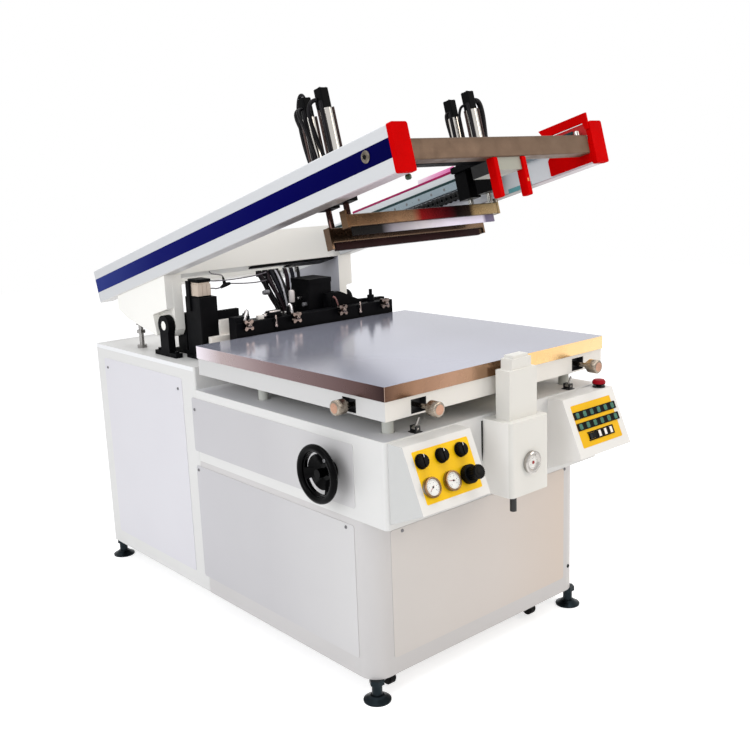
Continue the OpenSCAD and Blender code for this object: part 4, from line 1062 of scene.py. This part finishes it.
parts += blocks(HEAD, *[("chain_black", (306, 337.2), (y, y + 14), (1083, 1089), 0.6) for y in (-420, -120, 190)],
                ("chain_black", (-40, 286), (240, 262), (1031, 1037.2), 1.2))
piece("chain_lines", "head", parts, ("drag_chain",))

# %% [markdown]
# Four small screws hold the cap of each cylinder, and a long row of them holds each guide rail.
# %% Screws of the cylinders and rails
cap_screw = turned([(3, -0.3), (3, 1.6), (2.4, 2.2), (1.5, 2.2), (1.5, 0.8), (0.001, 0.8)], 12)
rows = [((side * CYLINDER_X - 3 + dx, y + dy, CYLINDER_TOP), (0, 0, 1), steady.uniform(0, 360))
        for side in (-1, 1) for y in (FLOOD_Y, SQUEEGEE_Y) for dx in (-10, 10) for dy in (-9, 9)]
grown("cap_screws", "carriage", point_tree, spots(rows), cap_screw, "screw_steel", "stainless", HEAD)
rail_screw = turned([(4.4, -0.2), (4.4, 0.3), (3.6, 0.5), (2.6, 0.5), (2.5, 0.1), (0.001, 0.1)], 14)
for side, label in ((-1, "left"), (1, "right")):
    grown(f"rail_screws_{label}", "head", row_tree, None, rail_screw, "screw_steel", "stainless",
          HEAD @ at(side * 319, -840, 1116, -side * 90, "Y"), Copies=18, Pitch=(0.0, 60.0, 0.0))

# %% [markdown]
# A thin white guard with a red rubber lip stands on the right beam and keeps fingers off the carriage. Under
# it runs a dark green wiper strip. Both are long and thin, with their edges softened like folded sheet.
# %% Guard on the right beam
finish("lip_crimson", (160, 14, 84), 0.45, 0, 0.15, 0.1, 0.1, 0.2)
finish("lip_pink", (240, 140, 196), 0.4, 0, 0.12, 0.08, 0.1, 0.2)
recolour("lip_pink", ("y", [(-0.305, (240, 110, 180)), (-0.22, (246, 170, 210)), (-0.15, (250, 235, 242))]),
         share=0.9)
finish("wiper_green", (24, 52, 54), 0.5, 0, 0.15, 0.08, 0.2, 0.2)
finish("seal_teal", (100, 160, 165), 0.4, 0, 0.15, 0.08, 0.15, 0.3)
piece("beam_guard", "head", blocks(
    HEAD, ("beam_paint", (334.6, 337.2), (-440, 113), (1130, 1159.4), 0.5),
    ("lip_crimson", (334, 337.6), (-440, 113), (1159, 1166.4), 0.8),
    ("lip_pink", (335, 337), (-404, -236), (1166, 1179), 0.6),
    ("wiper_green", (333.6, 335.2), (-868, 226), (1131, 1139.5), 0.3),
    ("seal_teal", (335.8, 337.4), (-690, -600), (1037.5, 1050), 0.3)))

# %% [markdown]
# Small fittings of the front beam: a bolt that clamps it, an orange index mark on a red tab, and a dark
# green knob below the left corner.
# %% Fittings of the front beam
finish("mark_orange", (224, 120, 30), 0.4, 0, 0.05, 0.01, 0.05)
finish("knob_green", (8, 50, 14), 0.34, 0, 0.15, 0.01, 0.06)
piece("beam_fittings", "head", [
    (turned([(9.5, -0.5), (9.5, 2), (7.5, 2.6), (7.5, 14), (6, 15.4), (0.001, 15.8)], 24), HEAD @ at(316, -893, 1116),
     "chrome"),
    (turned([(3, 0), (3, 26), (0.001, 26)], 16), HEAD @ at(-324, -880, 1042), "plated_steel"),
    (turned([(0.001, 0), (5, 0.6), (7.6, 4), (7.6, 9), (6, 12.6), (3, 14), (0.001, 14)], 40, 10, 0.8),
     HEAD @ at(-324, -880, 1028), "knob_green"),
    *blocks(HEAD, ("mark_orange", (50, 56), (-913.6, -912.6), (1000, 1008), 0.2))])

# %% [markdown]
# The register bar behind the table carries two chrome pins with round feet, a white sensor, a pale stop
# block and short clamp levers that lead to the star knobs. The levers stay with the bar when a knob turns.
# %% Fittings of the register bar
STAR_X, STAR_Z = (-233, -47, 145, 334), 896
BAR_TOP, LEVER_Y, LEVER_STEPS = 901.5, 82, 8
finish("lever_brown", (92, 62, 60), 0.3, 0.8, 0.2, 0.02, 0.1)
finish("pin_steel", (150, 136, 132), 0.24, 1, 0.2, 0.02, 0.08)
finish("pale_steel", (176, 172, 172), 0.28, 1, 0.12, 0.03, 0.12)
pin = turned([(3.4, 873.4), (5.6, 874), (6, 876), (5.6, 879.4), (3.6, 881.4), (3.4, 909), (2.6, 911.6),
              (0.001, 911.8)], 24)
parts = [(pin, at(x, 53, 0), "pin_steel") for x in (-117, 235)]
parts += blocks(UPRIGHT, ("key_white", (-172, -150), (70, 84), (BAR_TOP, 914), 1.2),
                ("pale_steel", (-148, -118), (76, 84), (906, 916), 2),
                ("black_steel", (-132, -84), (66, 94), (BAR_TOP, 918), 1),
                ("pale_steel", (-130, -86), (68, 92), (917.5, 923), 2))
for x, reach, top, thick, skin in ((STAR_X[0], -22, 932, 8, "pale_steel"), (STAR_X[1], -4, 933, 6.5, "pale_steel"),
                                   (STAR_X[2], 3, 936, 4.5, "lever_brown")):
    lever = curve_path((x - reach, LEVER_Y, top), (x, 54.5, STAR_Z + 6), (8, -10, -2), (-6, 6, 14), LEVER_STEPS)
    parts.append((swept(lever, thick, 12, [thick * (1 - 0.4 * i / LEVER_STEPS) for i in range(LEVER_STEPS + 1)]),
                  UPRIGHT, skin))
    rise = top - 909
    parts.append((turned([(thick + 3, 0), (thick + 3, rise), (thick + 1.5, rise + 2), (0.001, rise + 2)], 18),
                  at(x - reach, LEVER_Y, BAR_TOP), "black_steel"))
piece("bar_fittings", "cabinet", parts)
star_tip = turned([(7.2, -3), (7.2, 0.6), (6, 3), (3.4, 4.6), (0.001, 5.2)], 24)
for i, x in enumerate(STAR_X, 1):
    piece(f"star_tip_{i}", f"star_{i}", [(star_tip, at(x, 25.8, STAR_Z, 90), "star_chrome")])

# %% [markdown]
# The left unit carries a relay between its black base and a black cap. The cap, the air filter with its
# clear bowl and the push-in fittings are pieces of their own, and so is the tee of the thin air tubes.
# %% Relay, air filter and fittings
finish("fitting_grey", (120, 120, 124), 0.35, 0.3, 0.15, 0.01, 0.08)
finish("filter_bowl", (222, 214, 212), 0.22, 0, 0.04, 0.02, 0.04)
NOZZLE_Z = (1030, 1006)
TEE = Vector((-207, 196, 1008))
TEE_LEFT, TEE_RIGHT, TEE_TOP = (TEE + Vector(step) for step in ((-17, -2, -7), (20, 2, 2), (-5, 2, 26)))
nozzle = turned([(5.5, -0.5), (5.5, 5), (4.2, 6), (4.2, 9), (3.4, 10), (0.001, 10)], 18)
parts = [(nozzle, at(-289, 170, z, 90, "Y"), "black_plastic") for z in NOZZLE_Z]
stand = curve_path((34, 240, 880), (-16, 240, 1024), (-30, 0, 50), (0, 0, -60), 12)
parts.append((swept(stand, 4, 10), UPRIGHT, "unit_black"))
parts += blocks(UPRIGHT, ("unit_black", (-336.6, -287.4), (149.4, 206.6), (1031.5, 1040), 2),
                ("unit_black", (-346, -338), (186, 206), (940, 1034), 1.5))
for profile, sides, place, skin in (
        ([(8.5, -10), (8.5, 6), (7, 8), (7, 12), (0.001, 13)], 24, at(-22, 236, 959, -90, "Y"), "fitting_grey"),
        ([(9, -0.5), (9, 30), (11.5, 31), (11.5, 42), (10.5, 43)], 28, at(44, 182, 880), "unit_black"),
        ([(9.6, 0), (10, 3), (10, 34), (8, 39), (3, 41), (0.001, 41)], 28, at(44, 182, 923), "filter_bowl"),
        ([(7, 0), (7, 12), (5, 14), (0.001, 14)], 18, at(78, 150, 914, -90, "Y"), "fitting_grey"),
        ([(5, 0), (5, 16), (3.5, 18), (0.001, 18)], 18, at(78, 172, 934, -90, "Y"), "pale_steel"),
        ([(6, 0), (6, 9), (4.5, 11), (0.001, 11)], 18, at(20, 160, 880), "pale_steel"),
        ([(8, 0), (8, 7), (6, 9), (0.001, 9)], 6, at(-20, 170, 880), "fitting_grey")):
    parts.append((turned(profile, sides), place, skin))
parts += blocks(UPRIGHT, ("key_white", (-279, -244), (128, 134), (788.5, 910), 1),
                ("key_white", (-322, -244), (112, 130), (788.5, 862), 1))
parts += [(swept([TEE_LEFT, TEE, TEE_RIGHT], 5, 12, [4, 7.5, 4.5]), UPRIGHT, "black_plastic"),
          (swept([TEE, TEE_TOP], 5, 12, [7, 2.6]), UPRIGHT, "black_plastic")]
piece("air_fittings", "cabinet", parts)

# %% [markdown]
# Thin air tubes join the relay's valve to the lines of the head. Each is held at both ends, so it hangs in a
# shallow sag. The one that climbs from the tee reaches the head where it stands open.
# %% Thin air tubes
finish("tube_grey", (96, 90, 96), 0.3, 0, 0.2, 0.03, 0.06, 0.4)
TUBE_RADIUS = 2
for i, (start, end, sag) in enumerate((((-279.5, 170, NOZZLE_Z[0]), (-16, 238, 1026), -9),
                                       ((-279.5, 170, NOZZLE_Z[1]), TEE_LEFT, -3),
                                       (TEE_RIGHT, (-16, 238, 1000), -6)), 1):
    hose(f"air_tube_{i}", curve_path(start, end, (40, 8, sag), (-40, -6, sag)), TUBE_RADIUS, "tube_grey", "cabinet")
climb = curve_path(TEE_TOP, HEAD @ Vector((-206, 246, 1036)), (0, 4, 12), (-2, -8, -14))
hose("air_tube_4", climb, TUBE_RADIUS, "tube_grey", bend_from=0.98)

# %% [markdown]
# The plate between the guide rails is a casting with wide ends and a slim middle. The frame's solid is one
# plain plate, so a copy of it is merged and its middle is cut away. The solid itself is hidden but stays.
# The solid itself stays for collision.
# %% Carriage plate
source = bmesh.new()
source.from_mesh(nodes_by_name["carriage_beam"].data)
bmesh.ops.remove_doubles(source, verts=source.verts, dist=1e-6)
whole_plate = bpy.data.meshes.new("carriage_plate")
source.to_mesh(whole_plate)
source.free()
carriage_plate = set_out("carriage_plate", whole_plate)
cutter_points, cutter_faces = block((-236, 236), (-585, -470), (1120, 1165), 6)
cutter_mesh = bpy.data.meshes.new("cutter")
cutter_mesh.from_pydata([(HEAD @ p) * MM for p in cutter_points], [], cutter_faces)
cutter = set_out("cutter", cutter_mesh)
cut = carriage_plate.modifiers.new("cut", "BOOLEAN")
cut.operation, cut.object = "DIFFERENCE", cutter
cut_plate = plain_mesh(carriage_plate)
carriage_plate.modifiers.clear()
carriage_plate.data = cut_plate
bpy.data.objects.remove(cutter)
dress(cut_plate, "black_steel")
settle(carriage_plate, "carriage", ("carriage_beam",))

# %% [markdown]
# Each cylinder has two slim guide rods beside its tube. They are dark ground steel, and their dark finish
# also paints the dark reflections that the bright tubes show at their edges from every side.
# %% Guide rods
ROD_FOOT, ROD_LENGTH, ROD_OFFSET = 1151, 146, 13.9
finish("rod_dark", (54, 42, 40), 0.25, 0.9, 0.25, 0.05, 0.06)
rows = [((side * CYLINDER_X + k * ROD_OFFSET, y - k * ROD_OFFSET, ROD_FOOT), (0, 0, 1), 0)
        for side in (-1, 1) for y in (FLOOD_Y, SQUEEGEE_Y) for k in (-1, 1)]
grown("guide_rods", "carriage", point_tree, spots(rows), turned([(3.1, 0), (3.1, ROD_LENGTH), (0.001, ROD_LENGTH)], 12),
      "rod_dark", "black_steel", HEAD)

# %% [markdown]
# The hand wheel's web is dished and nearly closed: only two narrow slits show the cover behind it. The
# frame's web has three wide openings, so thin conical sectors fill most of them and turn with the wheel.
# %% Web of the hand wheel
WEB_THICK, WEB_MIDDLE, WEB_HEIGHT, WEB_SLOPE = 3, 22, 28, 0.675


def web_sector(middle, inner, outer, half=47, steps=10):
    """Part of a cone that follows the wheel's dished web; angles in degrees."""
    points, polygons = [], []
    for i in range(steps + 1):
        turn = math.radians(middle - half + 2 * half * i / steps)
        for r, lift in ((inner, 0), (outer, 0), (outer, WEB_THICK), (inner, WEB_THICK)):
            height = WEB_HEIGHT - (r - WEB_MIDDLE) * WEB_SLOPE + lift
            points.append(Vector((r * math.cos(turn), r * math.sin(turn), height)))
    for i in range(0, 4 * steps, 4):
        polygons += [[i + k, i + (k + 1) % 4, i + 4 + (k + 1) % 4, i + 4 + k] for k in range(4)]
    polygons += [[0, 1, 2, 3], [4 * steps + 3, 4 * steps + 2, 4 * steps + 1, 4 * steps]]
    return points, polygons


WHEEL = at(-474, -592, 612, 90, "Y")
piece("wheel_web", "wheel", [(web_sector(*sector), WHEEL, "wheel_plastic")
                             for sector in ((20, 32, 45), (140, 32, 50), (260, 32, 57))])

for corner in (cad_box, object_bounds()):
    print([round(v, 4) for v in (*corner[0], *corner[1])])
